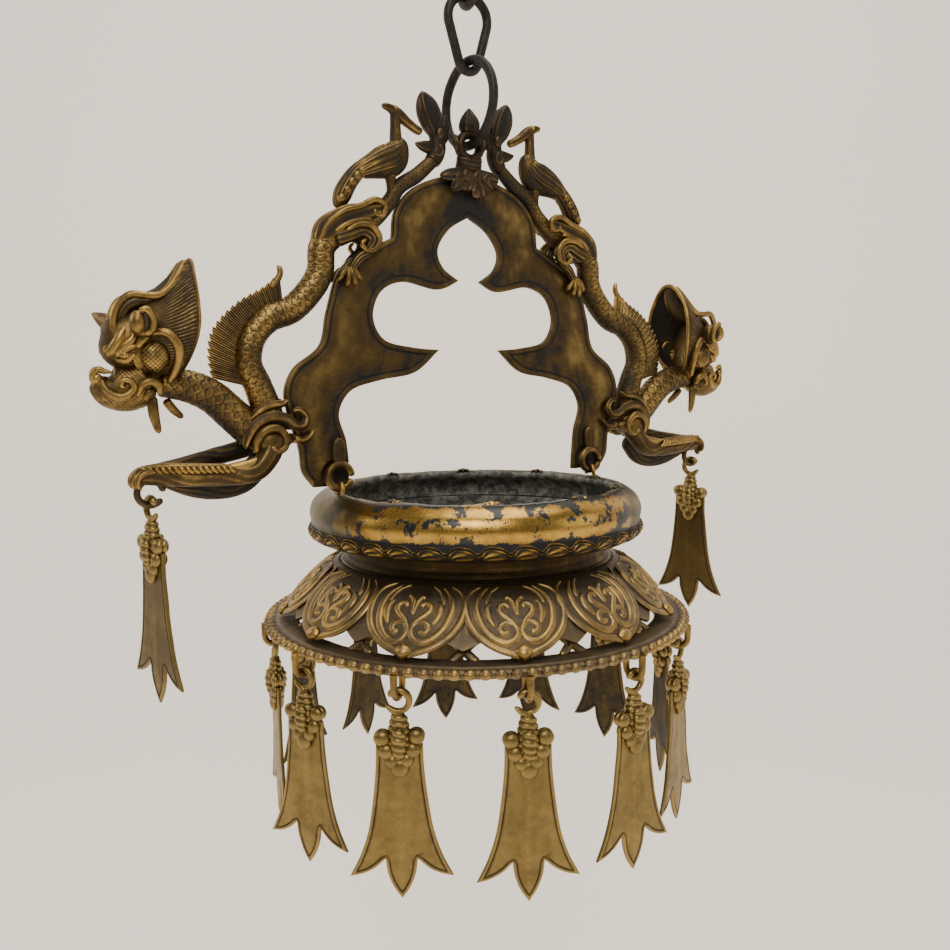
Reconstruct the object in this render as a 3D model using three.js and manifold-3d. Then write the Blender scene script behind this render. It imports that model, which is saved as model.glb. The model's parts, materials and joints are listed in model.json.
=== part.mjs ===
// Hanging temple lamp of cast brass, hung on an iron ring and two iron links.
// Millimetres, +Z up, X along the arch, Y through it. The drawing level 0 is the top of the
// flange; the whole lamp is then lowered so that the origin is at the hanging point.

import * as THREE from 'three';
import { mergeVertices } from 'three/addons/utils/BufferGeometryUtils.js';
import Module from 'manifold-3d';

const wasm = await Module();
wasm.setup();

// Driving dimensions
const seatGap = 0.3; // between pieces that rest on each other
const ironGap = 0.6; // between the round wires of two links, whose facets stand a little proud
const pendantCount = 12;
const roundSteps = 36; // facets round the turned castings
const rightShare = 0.96; // the hand-made right half of the arch is a little narrower than the left

const flange = { outerRadius: 170, width: 27, thickness: 7, beadRadius: 4 };
const collar = { radius: 108, waistInset: 4.5, height: 17.2, wall: 7 };
// The skirt's tips and clefts are measured in from the flange's edge, its top out from the collar.
const skirt = {
  topMargin: 2, tipInset: 15.3, cleftInset: 37, height: 42, wall: 3, cleftDepth: 4, landWidth: 6,
};
const lattice = { barWidth: 4.2, halfSpread: 8.5, height: 12.5, reach: 5 };
const dish = {
  bandMargin: 25.4, bandHeight: 9.5, bulgeInset: 1.9, bulgeHeight: 21, rimInset: 24.4, height: 39,
  floorThickness: 4, wall: 4,
};
const eyeLoop = { wireRadius: 2.4, bendRadius: 6.8, height: 17 };
const pendant = {
  edgeInset: 8.7, wireRadius: 2.7, hookRadius: 7.25, stemLength: 41, stemTopWidth: 9.6,
  stemWidth: 33, stemThickness: 12, leafLength: 87, leafTopWidth: 31, leafWidth: 69, lobeRise: 16,
  notchRise: 27, leafThickness: 2.8, turn: -3, pawTurn: 105,
};
// How far each pendant hangs turned on its hook, in degrees, from the one right of the front on
const pendantTwists = [-6, -14, -4, 8, -12, 6, 14, -5, 9, 19, 18, -4];
const footHook = {
  wireRadius: 2.6, bendRadius: 8.9, rimMargin: 5.5, liftOverRim: 4.2, tangLength: 20, tangThickness: 4.4,
};
const staple = { wireRadius: 1.7, bendRadius: 5 };
const plate = { thickness: 7, midY: 7, pocketDepth: 4.2, pocketRadius: 12.6 };
// Heights of the arch are counted from the line through the two foot hooks, half widths from its
// middle, and the margins at its feet from the hooks.
const opening = {
  apex: 205, topLobeHalf: 28, topLobe: 178, upperCuspHalf: 10, upperCusp: 155.5, middleLobeHalf: 83,
  middleLobe: 126, lowerCuspHalf: 28, lowerCusp: 102, lowerLobeHalf: 112, lowerLobe: 55, footMargin: 9.5,
  footHeel: 16,
};
const outline = {
  crown: 237, neckHalf: 66, neck: 185, waistHalf: 119, waist: 129, hipHalf: 152.5, hip: 72,
  legMargin: 28.5, footMargin: 18.5, foot: 1.5,
};
const bodyRadius = { tail: 5.6, back: 9.6, neck: 12 };
const tailEnd = { reach: 31, rise: 7, leanAcross: 0.75, leanUp: 0.66, radius: 5 };
const pawRing = { wireRadius: 2.4, bendRadius: 8.4, reach: 247, drop: 12.6 };
const legs = { shoulderReach: 165, pawHeight: 18, pawMargin: 10, radius: 6.4 };
const eye = {
  y: 2.8, halfWidth: 4.4, outerRadius: 11, holeRadius: 5.6, riseOverCrown: 20.5, runningGap: 0.8,
};
const ring = { wireRadius: 3.75, bendRadius: 31.25, turn: 6.5 };
const pearLink = { wireRadius: 3.7, bottomRadius: 8.6, topRadius: 17.3, length: 56.25 };
const upperLink = { wireRadius: 3.7, bendRadius: 9.2, length: 46 };

const brass = { color: 0x8a6f35, roughness: 0.42, metalness: 1 };
const darkBrass = { color: 0x4d4128, roughness: 0.55, metalness: 1 };
const iron = { color: 0x1d1b1a, roughness: 0.6, metalness: 0.9 };

// Radii and levels that follow from the sizes above
const flangeInner = flange.outerRadius - flange.width;
const skirtTop = collar.radius + skirt.topMargin;
const skirtTip = flange.outerRadius - skirt.tipInset;
const skirtCleft = flange.outerRadius - skirt.cleftInset;
const bandRadius = collar.radius + dish.bandMargin;
const bulgeRadius = bandRadius - dish.bulgeInset;
const rimRadius = bandRadius - dish.rimInset;
const pendantCircle = flange.outerRadius - pendant.edgeInset;
const pawReach = pawRing.reach + legs.pawMargin;
const hookReach = rimRadius + footHook.rimMargin;
const skirtSeat = seatGap;
const collarSeat = skirt.height + seatGap;
const dishSeat = collarSeat + collar.height + seatGap;
const rimLevel = dishSeat + dish.height;
const hingeLevel = rimLevel + footHook.liftOverRim;
const eyeLevel = hingeLevel + outline.crown + eye.riseOverCrown;
const ringBottom = eyeLevel + eye.holeRadius - eye.runningGap - ring.wireRadius;
const ringTop = ringBottom + 2 * ring.bendRadius;
const pearBottom = ringTop - ring.wireRadius - ironGap - pearLink.wireRadius;
const pearTop = pearBottom + pearLink.length;
const upperBottom = pearTop - pearLink.wireRadius - ironGap - upperLink.wireRadius;
const hangingPoint = upperBottom + upperLink.length - upperLink.wireRadius;

const plateFront = plate.midY - plate.thickness / 2;
const plateBack = plate.midY + plate.thickness / 2;
const degrees = Math.PI / 180;

// Solids: a closed mesh goes to the boolean library and comes back as one geometry.
function solid(geometry) {
  const bare = geometry.clone();
  for (const name of Object.keys(bare.attributes)) {
    if (name !== 'position') bare.deleteAttribute(name);
  }
  const merged = mergeVertices(bare, 1e-4);
  return new wasm.Manifold(new wasm.Mesh({
    numProp: 3,
    vertProperties: new Float32Array(merged.attributes.position.array),
    triVerts: new Uint32Array(merged.index.array),
  }));
}

function surfaceOf(body) {
  const mesh = body.getMesh();
  const geometry = new THREE.BufferGeometry();
  geometry.setAttribute('position', new THREE.BufferAttribute(mesh.vertProperties, 3));
  geometry.setIndex(new THREE.BufferAttribute(mesh.triVerts, 1));
  return geometry;
}

function joined(geometries, cuts = []) {
  let body = solid(geometries[0]);
  for (const geometry of geometries.slice(1)) body = body.add(solid(geometry));
  for (const geometry of cuts) body = body.subtract(solid(geometry));
  return surfaceOf(body);
}

// A closed surface over a grid of rows: rings of points, with the first and last ring joined
// (closed) or each filled by a fan about its own middle.
function skin(rows, closed = false) {
  const sides = rows[0].length;
  const points = rows.flat();
  const index = [];
  const last = closed ? rows.length : rows.length - 1;
  for (let i = 0; i < last; i += 1) {
    const next = (i + 1) % rows.length;
    for (let j = 0; j < sides; j += 1) {
      const k = (j + 1) % sides;
      const [a, b, c, d] = [i * sides + j, i * sides + k, next * sides + k, next * sides + j];
      index.push(a, b, c, a, c, d);
    }
  }
  if (!closed) {
    for (const [start, flip] of [[0, true], [(rows.length - 1) * sides, false]]) {
      const middle = new THREE.Vector3();
      for (let j = 0; j < sides; j += 1) middle.addScaledVector(points[start + j], 1 / sides);
      points.push(middle);
      for (let j = 0; j < sides; j += 1) {
        const k = (j + 1) % sides;
        if (flip) index.push(points.length - 1, start + k, start + j);
        else index.push(points.length - 1, start + j, start + k);
      }
    }
  }
  const geometry = new THREE.BufferGeometry().setFromPoints(points);
  geometry.setIndex(index);
  return geometry;
}

// A ring of points about a centre: flat is the radius along the side vector, deep the other one.
function section(centre, tangent, side, flat, deep, sides) {
  const across = side.clone().addScaledVector(tangent, -side.dot(tangent)).normalize();
  const up = new THREE.Vector3().crossVectors(tangent, across);
  return Array.from({ length: sides }, (_, j) => {
    const angle = (2 * Math.PI * j) / sides;
    return centre.clone()
      .addScaledVector(across, flat * Math.cos(angle))
      .addScaledVector(up, deep * Math.sin(angle));
  });
}

// A limb along a smooth curve through stations [x, y, z, deep radius, side radius].
function limb(stations, { steps = 10, sides = 8, side = new THREE.Vector3(0, 1, 0) } = {}) {
  const path = new THREE.CatmullRomCurve3(stations.map(([x, y, z]) => new THREE.Vector3(x, y, z)));
  const sizes = new THREE.CatmullRomCurve3(
    stations.map(([, , , deep, flat = deep]) => new THREE.Vector3(deep, flat, 0)));
  const rows = Array.from({ length: steps + 1 }, (_, i) => {
    const size = sizes.getPoint(i / steps);
    return section(path.getPoint(i / steps), path.getTangent(i / steps), side, size.y, size.x, sides);
  });
  return skin(rows);
}

// A round bar bent along the flat closed or open curve of points, in the plane with this normal.
function bentBar(points, radius, normal, { closed = true, sides = 8 } = {}) {
  const count = points.length;
  const rows = points.map((point, i) => {
    const before = closed || i > 0 ? points[(i - 1 + count) % count] : point;
    const after = closed || i < count - 1 ? points[(i + 1) % count] : point;
    const tangent = after.clone().sub(before).normalize();
    return section(point, tangent, normal, radius, radius, sides);
  });
  return skin(rows, closed);
}

// Points of an arc in a plane given by its two directions, angles in degrees.
function arc(centre, radius, from, to, steps, right, up) {
  return Array.from({ length: steps + 1 }, (_, i) => {
    const angle = (from + ((to - from) * i) / steps) * degrees;
    return centre.clone()
      .addScaledVector(right, radius * Math.cos(angle))
      .addScaledVector(up, radius * Math.sin(angle));
  });
}

const alongX = new THREE.Vector3(1, 0, 0);
const alongY = new THREE.Vector3(0, 1, 0);
const alongZ = new THREE.Vector3(0, 0, 1);

// A link whose lower end is narrower than its upper end: two arcs joined by their common tangents.
function linkPath(bottom, top, bottomRadius, topRadius, right, y) {
  const low = new THREE.Vector3(0, y, bottom + bottomRadius);
  const high = new THREE.Vector3(0, y, top - topRadius);
  const lean = Math.asin((topRadius - bottomRadius) / (high.z - low.z)) / degrees;
  return [
    ...arc(low, bottomRadius, 180 + lean, 360 - lean, 7, right, alongZ),
    ...arc(high, topRadius, -lean, 180 + lean, 9, right, alongZ),
  ];
}

function turned(profile, segments) {
  const points = profile.map(([r, z]) => new THREE.Vector2(r, z));
  return new THREE.LatheGeometry(points, segments).rotateX(Math.PI / 2);
}

// Base: flange, lotus skirt and collar
function flangeShape() {
  const { outerRadius, thickness, beadRadius } = flange;
  const beadCentre = outerRadius - beadRadius;
  const bead = Array.from({ length: 4 }, (_, i) => {
    const angle = (-120 + 80 * i) * degrees;
    return [beadCentre + beadRadius * Math.cos(angle), -thickness / 2 + beadRadius * Math.sin(angle)];
  });
  const profile = [[flangeInner, -thickness], ...bead, [flangeInner, 0], [flangeInner, -thickness]];
  const bars = [];
  for (let i = 0; i < pendantCount; i += 1) {
    const turn = new THREE.Matrix4().makeRotationZ((pendant.turn + 30 * i) * degrees);
    for (const hand of [-1, 1]) {
      bars.push(limb([
        [-hand * lattice.halfSpread, -(flangeInner + 2), -thickness / 2, lattice.barWidth / 2],
        [hand * lattice.halfSpread, -(flangeInner - lattice.reach), lattice.height, lattice.barWidth / 2],
      ], { steps: 1, sides: 4, side: alongY }).applyMatrix4(turn));
    }
  }
  return joined([turned(profile, roundSteps), ...bars]);
}

// Height of the lotus over the flange at a radius: nearly a cone, a little full at the shoulder.
function lotusHeight(radius) {
  const run = (radius - skirtTop) / (skirtTip - skirtTop);
  return skirt.height * (1 - run ** 1.4) + 2.2 * run;
}

function skirtShape() {
  const perPetal = 6;
  const columns = perPetal * pendantCount;
  const downSteps = 3;
  const rows = [];
  for (let i = 0; i < columns; i += 1) {
    const within = ((i % perPetal) / perPetal) * 2 - 1;
    const off = Math.abs(within);
    const edge = skirtTip - (skirtTip - skirtCleft) * off ** 1.7 - 4 * off * (1 - off);
    const angle = (pendant.turn + (360 / columns) * (i - perPetal / 2) + 15) * degrees;
    const ring = [];
    const point = (radius, height) => new THREE.Vector3(
      radius * Math.sin(angle), -radius * Math.cos(angle), height);
    const sink = skirt.cleftDepth * off ** 3;
    for (let s = 0; s <= downSteps; s += 1) {
      const radius = skirtTop + (edge - skirtTop) * (s / downSteps);
      ring.push(point(radius, skirtSeat + lotusHeight(radius) - sink * (s / downSteps)));
    }
    for (let s = downSteps; s >= 0; s -= 1) {
      const radius = skirtTop + (edge - skirtTop) * (s / downSteps);
      const level = lotusHeight(radius) - sink * (s / downSteps);
      const inward = skirt.landWidth + (skirt.wall - skirt.landWidth) * (s / downSteps);
      ring.push(point(radius - inward, skirtSeat + Math.max(level - skirt.wall, 0)));
    }
    ring.push(point(skirtTop - skirt.landWidth, skirtSeat + skirt.height));
    rows.push(ring);
  }
  return skin(rows, true);
}

function collarShape() {
  const { radius, waistInset, height, wall } = collar;
  const base = collarSeat;
  return turned([
    [radius - wall, base], [radius, base], [radius - waistInset, base + height * 0.35],
    [radius - waistInset + 1, base + height * 0.75], [radius - 1, base + height],
    [radius - wall, base + height],
    [radius - wall, base],
  ], roundSteps);
}

// Oil dish with its rolled rim
function dishShape() {
  const { height, bandHeight, bulgeHeight, floorThickness, wall } = dish;
  const base = dishSeat;
  const rim = base + height;
  const foot = collar.radius;
  const outside = [
    [0, base], [foot, base], [bandRadius - 6, base + bandHeight - 5], [bandRadius, base + bandHeight],
    [bandRadius - 1.5, base + bandHeight + 5], [bulgeRadius, base + bulgeHeight],
    [bulgeRadius - 3.5, rim - 9], [bulgeRadius - 11, rim - 3], [rimRadius + 4, rim],
  ];
  const inside = [
    [rimRadius, rim - 1], [rimRadius, rim - wall], [bulgeRadius - 13, rim - 3 - wall],
    [bulgeRadius - wall - 3, rim - 13], [bulgeRadius - wall, base + bulgeHeight - 2],
    [bandRadius - wall - 8, base + bandHeight + 1], [foot - 4, base + floorThickness],
    [0, base + floorThickness],
  ];
  return turned([...outside, ...inside], roundSteps);
}

function rimLevelAt(radius) {
  const outer = bulgeRadius - 11;
  const inner = rimRadius + 4;
  return radius <= inner ? rimLevel : rimLevel - (3 * (radius - inner)) / (outer - inner);
}

function stapleShape(hand) {
  const centre = new THREE.Vector3(hand * hookReach, 0,
    hingeLevel + footHook.wireRadius + seatGap + staple.wireRadius - staple.bendRadius);
  const foot = rimLevelAt(hookReach - staple.wireRadius) + seatGap;
  const down = [-1, 1].map((side) => new THREE.Vector3(centre.x, side * staple.bendRadius, foot));
  const bend = arc(centre, staple.bendRadius, 180, 0, 5, alongY, alongZ);
  return bentBar([down[0], ...bend, down[1]], staple.wireRadius, alongX, { closed: false, sides: 6 });
}

// Arch plate
function splineTo(path, points) {
  path.splineThru(points.map(([x, z]) => new THREE.Vector2(x, z)));
}

function archPath() {
  const o = opening;
  const e = outline;
  const leg = hookReach + e.legMargin;
  const foot = hookReach + e.footMargin;
  const heel = hookReach - o.footMargin;
  const left = [
    [[0, e.crown], [-25, e.crown - 4], [-49, e.crown - 15], [-63, e.crown - 32], [-e.neckHalf, e.neck]],
    [[-e.neckHalf, e.neck], [-84, e.neck - 9], [-107, e.neck - 24], [-e.waistHalf, e.waist],
      [-(e.waistHalf + 6), e.waist - 24], [-(e.hipHalf - 7), e.hip + 16], [-e.hipHalf, e.hip],
      [-(e.hipHalf - 3), e.hip - 20], [-leg, 30], [-(leg - 2), 13], [-foot, e.foot]],
  ];
  const inside = [
    [[-(heel - 1), e.foot], [-heel, o.footHeel], [-(heel + 2), 35],
      [-o.lowerLobeHalf, o.lowerLobe], [-(o.lowerLobeHalf - 9), o.lowerLobe + 16],
      [-(o.lowerLobeHalf - 33), o.lowerLobe + 24], [-49, o.lowerCusp - 17],
      [-o.lowerCuspHalf, o.lowerCusp]],
    [[-o.lowerCuspHalf, o.lowerCusp], [-52, o.lowerCusp + 2], [-(o.middleLobeHalf - 8), o.middleLobe - 16],
      [-o.middleLobeHalf, o.middleLobe], [-(o.middleLobeHalf - 7), o.middleLobe + 19],
      [-(o.middleLobeHalf - 25), o.middleLobe + 27], [-26, o.upperCusp - 7],
      [-o.upperCuspHalf, o.upperCusp]],
    [[-o.upperCuspHalf, o.upperCusp], [-24, o.upperCusp + 10], [-o.topLobeHalf, o.topLobe],
      [-18, o.apex - 11], [0, o.apex]],
  ];
  const half = [...left, [[-foot, e.foot], [-(heel - 1), e.foot]], ...inside];
  const mirrored = half.map((run) => run.map(([x, z]) => [-x * rightShare, z]).reverse()).reverse();
  return [...half, ...mirrored];
}

// The plate lies in X and Z; grow widens its outline and thickness, to leave room round it.
function archPlateBlank(grow) {
  const runs = archPath();
  const path = new THREE.Shape();
  path.moveTo(0, outline.crown);
  for (const run of runs) {
    if (run.length === 2) path.lineTo(...run[1]);
    else splineTo(path, run.slice(1));
  }
  const geometry = new THREE.ExtrudeGeometry(path, {
    depth: plate.thickness + 2 * grow, curveSegments: 2, bevelEnabled: grow > 0, bevelSegments: 1,
    bevelThickness: 0, bevelSize: 0, bevelOffset: grow,
  });
  return geometry.rotateX(Math.PI / 2).translate(0, plateBack + grow, hingeLevel);
}

function pocketCut(hand) {
  const depth = plate.pocketDepth;
  return new THREE.CylinderGeometry(plate.pocketRadius, plate.pocketRadius, 2 * depth, 14)
    .translate(hand * hookReach, plateFront, hingeLevel + footHook.bendRadius);
}

function archPlateShape() {
  return joined([archPlateBlank(0)], [pocketCut(-1), pocketCut(1)]);
}

// The hook's ring stands in front of the plate; its tang lies flat on the plate's face.
function footHookShape(hand) {
  const centre = new THREE.Vector3(hand * hookReach, 0, hingeLevel + footHook.bendRadius);
  const loop = arc(centre, footHook.bendRadius, 0, 324, 9, alongX, alongZ);
  const { bendRadius, tangLength, tangThickness } = footHook;
  const tangY = plateFront - seatGap - tangThickness / 2;
  const tang = limb([
    [centre.x, 0, centre.z + bendRadius, footHook.wireRadius, 3.4],
    [centre.x, tangY, centre.z + bendRadius + 5, tangThickness / 2, 5],
    [centre.x, tangY, centre.z + bendRadius + tangLength - 3, tangThickness / 2, 4.4],
    [centre.x, tangY, centre.z + bendRadius + tangLength, tangThickness / 3, 2],
  ], { steps: 4, sides: 6, side: alongX });
  return joined([bentBar(loop, footHook.wireRadius, alongY, { sides: 7 }), tang]);
}

// The place across the arch at u outwards from its middle: hand is -1 on the left, 1 on the right.
function across(hand, u) {
  return hand * u * (hand > 0 ? rightShare : 1);
}

// Stations on the arch, with dy through the plate and h up from the foot hooks.
function onArch(hand, list) {
  return list.map(([u, dy, h, deep, flat]) => [
    across(hand, u), plate.midY + dy, hingeLevel + h, deep, flat,
  ]);
}

// The dragon's body from the end of its tail to the shoulder; grow leaves room round it.
function trunkGeometry(hand, grow) {
  const e = outline;
  const { tail, back } = bodyRadius;
  const stations = [
    [tailEnd.reach, 0, e.crown + tailEnd.rise, tailEnd.radius],
    [tailEnd.reach + 17 * tailEnd.leanAcross, 0, e.crown + tailEnd.rise - 17 * tailEnd.leanUp, tail],
    [58.5, 0, e.crown - 14, tail],
    [68, 0, e.crown - 27, tail * 1.05], [84, 0, e.neck + 11, back * 0.8], [104, 0, e.neck + 4, back * 0.95],
    [120, 0, e.neck - 9, back], [122.5, 0, e.neck - 27, back], [129, 0, e.waist + 17, back],
    [145, 0, e.waist + 1, back], [162, 0, e.waist - 6, back], [174, 0, e.waist - 19, back],
    [177.5, 0, e.waist - 37, back], [171, 0, e.hip + 4, back],
    [legs.shoulderReach, 0, e.hip - 16, back * 1.1], [legs.shoulderReach, 0, e.hip - 30, back * 0.9],
  ];
  const wide = stations.map(([u, dy, h, radius]) => [u, dy, h, radius + grow]);
  return limb(onArch(hand, wide), { steps: 19, sides: 6 });
}

function dragonShape(hand) {
  const grown = (list, options) => limb(onArch(hand, list), options);
  const e = outline;
  const { neck } = bodyRadius;
  const shoulder = legs.shoulderReach;
  const outwards = (share) => shoulder + (pawReach - shoulder) * share;
  const throat = grown([
    [shoulder + 1, 0, e.hip - 32, neck], [178, 0, e.hip - 26, neck], [190, 0, e.hip - 15, neck],
    [203, 0, e.hip - 3, neck * 0.96], [217, 0, e.hip + 4, neck * 0.92], [238, 0, e.hip + 8, neck * 0.8],
  ], { steps: 6, sides: 7 });
  const head = grown([
    [238, 0, 108, 26, 19], [250, 0, 103, 30, 19], [259, 0, 96, 25, 16], [266, 0, 88, 18, 12.5],
    [273, 0, 83, 11, 9.5], [281, 0, 83, 6.5, 7.5],
  ], { steps: 6, sides: 8 });
  const hood = grown([
    [248, 0, 112, 24, 14], [238, 0, 113, 26, 19], [230, 0, 117, 36, 23], [222, 0, 121, 41, 26],
  ], { steps: 3, sides: 12 });
  const hollow = grown([
    [245, 0, 112, 14, 9], [237, 0, 113, 22, 16], [229, 0, 117, 33, 20.5], [219, 0, 122, 40, 25],
  ], { steps: 3, sides: 12 });
  const jaw = grown([
    [240, 0, 76, 8, 9], [252, 0, 68, 8, 9.5], [262, 0, 66, 6.5, 8], [270, 0, 70, 4, 6],
  ], { steps: 3, sides: 6 });
  const ears = [-1, 1].map((near) => grown([
    [250, near * 14, 118, 7, 6.5], [256, near * 23, 121, 6, 5.4], [263, near * 33, 126, 0.8, 0.8],
  ], { steps: 2, sides: 6 }));
  const beard = [
    grown([[238, -3, 68, 4.5, 5], [238.5, -4, 56, 3.4, 3], [239, -5, 45, 0.9, 1]], { steps: 2, sides: 5 }),
    grown([[233, 4, 79, 4, 5], [227, 5, 64, 3, 3], [221, 6, 54, 0.8, 1]], { steps: 2, sides: 5 }),
  ];
  const nearLeg = grown([
    [outwards(0), -6, e.hip - 34, 8], [outwards(0.04), -12, 26, 7.5], [outwards(0.14), -13, 17, 7.5],
    [outwards(0.31), -12, 15, legs.radius], [outwards(0.54), -8, 15.5, legs.radius],
    [outwards(0.79), -3, legs.pawHeight - 1, legs.radius], [pawReach, 0, legs.pawHeight, 5.5],
  ], { steps: 7, sides: 6 });
  const farLeg = grown([
    [outwards(0.01), 6, e.hip - 34, 8], [outwards(0.14), 14, 32, 7], [outwards(0.4), 15, 26, legs.radius],
    [outwards(0.6), 11, 22, legs.radius], [pawReach - 2, 2, legs.pawHeight, 5],
  ], { steps: 6, sides: 5 });
  const mane = grown([
    [outwards(0.02), 2, 24, 7, 6], [outwards(0.2), 4, 11, 9, 6], [outwards(0.5), 4, 8, 8, 6],
    [outwards(0.8), 2, 12, 4, 4],
  ], { steps: 5, sides: 6 });
  const shoulders = [-1, 1].map((near) => new THREE.SphereGeometry(8.2, 7, 4)
    .translate(across(hand, shoulder - 7), plate.midY + near * 8, hingeLevel + 38));
  const flames = [-1, 1].map((near) => grown([
    [shoulder + 1, near * 8, 47, 4, 3], [shoulder - 9, near * 8, 57, 4, 3],
    [shoulder - 22, near * 6.5, 51, 3.4, 3], [shoulder - 27, near * 5.4, 56, 1.4, 1.4],
  ], { steps: 4, sides: 4 }));
  const haunches = [-1, 1].map((near) => grown([
    [112, near * 5, e.neck + 1, 8, 5], [96, near * 7.5, e.neck + 12, 7, 4.5],
    [82, near * 8, e.neck + 17, 5, 3.6],
    [76, near * 8, e.neck + 11, 3, 2.6],
  ], { steps: 4, sides: 5 }));
  const hindLegs = [-1, 1].map((near) => grown([
    [112, near * 6, e.neck - 6, 5.5, 5], [98, near * 8.5, e.neck + 4, 5, 4.4],
    [87, near * 9, e.neck + 1, 4.6, 4],
    [91, near * 8.5, e.neck - 9, 4, 3.6], [100, near * 7.6, e.neck - 20, 4, 3.6],
    [103, near * 7, e.neck - 32, 1.6, 2],
  ], { steps: 5, sides: 4 }));
  const parts = [
    trunkGeometry(hand, 0), throat, head, jaw, ...ears, ...beard, nearLeg, farLeg, mane, ...shoulders,
    ...flames, ...haunches, ...hindLegs, crestFin(hand),
  ];
  const shell = solid(hood).subtract(solid(hollow));
  let body = solid(parts[0]);
  for (const part of parts.slice(1)) body = body.add(solid(part));
  body = body.add(shell);
  body = body.subtract(solid(archPlateBlank(seatGap)));
  return surfaceOf(body.subtract(solid(pawRingGeometry(hand, seatGap))));
}

// Toothed fin along the dragon's back: a thin plate whose outer edge steps from tooth to tooth.
function crestFin(hand) {
  const thickness = 3;
  const teeth = 7;
  const outer = new THREE.CatmullRomCurve3([
    [205, 84], [204, 110], [197, 120], [182, 134], [163, 145], [152, 155],
  ].map(([u, h]) => new THREE.Vector3(u, h, 0)));
  const path = new THREE.Shape();
  path.moveTo(across(hand, 178), 80);
  for (let i = 0; i <= teeth; i += 1) {
    const low = outer.getPoint(i / teeth);
    path.lineTo(across(hand, low.x), low.y);
    if (i < teeth) {
      const high = outer.getPoint((i + 0.75) / teeth);
      path.lineTo(across(hand, high.x + 2.2), high.y + 1.6);
    }
  }
  path.lineTo(across(hand, 154), 140);
  path.lineTo(across(hand, 165), outline.waist - 6);
  path.lineTo(across(hand, 176), outline.waist - 25);
  return new THREE.ExtrudeGeometry(path, { depth: thickness, bevelEnabled: false })
    .rotateX(Math.PI / 2).translate(0, plate.midY + thickness / 2, hingeLevel);
}

function pawRingCentre(hand) {
  return new THREE.Vector3(across(hand, pawRing.reach), plate.midY,
    hingeLevel + legs.pawHeight - pawRing.drop);
}

function pawRingGeometry(hand, grow) {
  const loop = arc(pawRingCentre(hand), pawRing.bendRadius, 0, 330, 11, alongX, alongZ);
  return bentBar(loop, pawRing.wireRadius + grow, alongY, { sides: 6 });
}

// Birds: peacocks that stand on the dragons' tails and rest their beaks against the buds.
function birdShape(hand) {
  const parts = [
    limb(onArch(hand, [[56, 0, 260, 2.5], [58, 0, 252, 7.5, 6.5], [65, 0, 241, 10.5, 8.5],
      [77, 0, 238, 9, 7.5], [89, 0, 233, 6.5, 6.5], [99, 0, 222, 6, 7.5], [107, 0, 210, 6.5, 8],
      [111, 0, 202, 3, 4]]), { steps: 9, sides: 7 }),
    limb(onArch(hand, [[59, 0, 248, 6], [61.5, 0, 260, 4], [61, 0, 270, 3.5], [60, 0, 279, 4.8]]),
      { steps: 4, sides: 6 }),
    limb(onArch(hand, [[71, 0, 281, 1.6], [64, 0, 278.5, 3.4], [56, 0, 275, 3.8], [46, 0, 267, 4],
      [37, 0, 258, 4.2]]), { steps: 5, sides: 5 }),
    limb(onArch(hand, [[68, 0, 240, 5, 4], [68, 0, 230, 3.2, 3.4], [66, 0, 217, 3.6, 4]]),
      { steps: 3, sides: 6 }),
  ];
  return joined(parts, [trunkGeometry(hand, seatGap), ...budGeometries(hand, seatGap)]);
}

// Buds that end the dragons' tails, with a leaf on each side; grow leaves room round them.
function budGeometries(hand, grow) {
  const { crown } = outline;
  const along = (far) => [
    tailEnd.reach - far * tailEnd.leanAcross, crown + tailEnd.rise + far * tailEnd.leanUp,
  ];
  const [seatU, seatH] = along(seatGap);
  const [neckU, neckH] = along(4);
  const grown = (stations, options) => limb(
    onArch(hand, stations.map(([u, dy, h, deep, flat = deep]) => [u, dy, h, deep + grow, flat + grow])),
    options);
  return [
    grown([[seatU, 0, seatH, tailEnd.radius], [neckU, 0, neckH, 5.4], [25.5, 0, crown + 17, 6.4],
      [26, 0, crown + 28, 5.6, 5], [30, 0, crown + 39, 7.6, 6], [35.5, 0, crown + 49, 7.2, 6],
      [40, 0, crown + 60, 0.8]],
    { steps: 9, sides: 7 }),
    grown([[27, 0, crown + 21, 4], [36, 0, crown + 18, 3.6], [45, 0, crown + 19, 0.8]],
      { steps: 3, sides: 5 }),
    grown([[25, 0, crown + 24, 4], [20.5, 0, crown + 33, 3], [19, 0, crown + 43, 0.8]],
      { steps: 3, sides: 5 }),
  ];
}

// The eye finial stands on the crown: trunk, eye for the ring, bud and two prongs.
function eyeFinialShape() {
  const low = hingeLevel + outline.crown + seatGap;
  const top = eyeLevel + eye.outerRadius - 2;
  const trunk = limb([
    [0, plate.midY, low, 4.5, 12], [0, eye.y + 1, (low + eyeLevel) / 2 - 2, 8.5, 10.5],
    [0, eye.y, eyeLevel - eye.holeRadius - 1, 6, 11],
  ], { steps: 3, sides: 8, side: alongX });
  const disc = new THREE.CylinderGeometry(eye.outerRadius, eye.outerRadius, 2 * eye.halfWidth, 16)
    .translate(0, eye.y, eyeLevel);
  const hole = new THREE.CylinderGeometry(eye.holeRadius, eye.holeRadius, 6 * eye.halfWidth, 16)
    .translate(0, eye.y, eyeLevel);
  const bud = limb([
    [0, eye.y, top - 3, 4], [0, eye.y, top + 5, 7.6, 8.4], [0, eye.y, top + 11, 6.6, 7.2],
    [0, eye.y, top + 20, 0.8],
  ], { steps: 5, sides: 8, side: alongX });
  const prongs = [-1, 1].map((hand) => limb([
    [hand * 8, eye.y, eyeLevel - 2, 4, 4], [hand * 12, eye.y, eyeLevel + 3, 2.6, 3.4],
    [hand * 11.5, eye.y, eyeLevel + 8.5, 0.8, 0.8],
  ], { steps: 3, sides: 6 }));
  return joined([trunk, disc, bud, ...prongs], [hole, archPlateBlank(seatGap)]);
}

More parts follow.
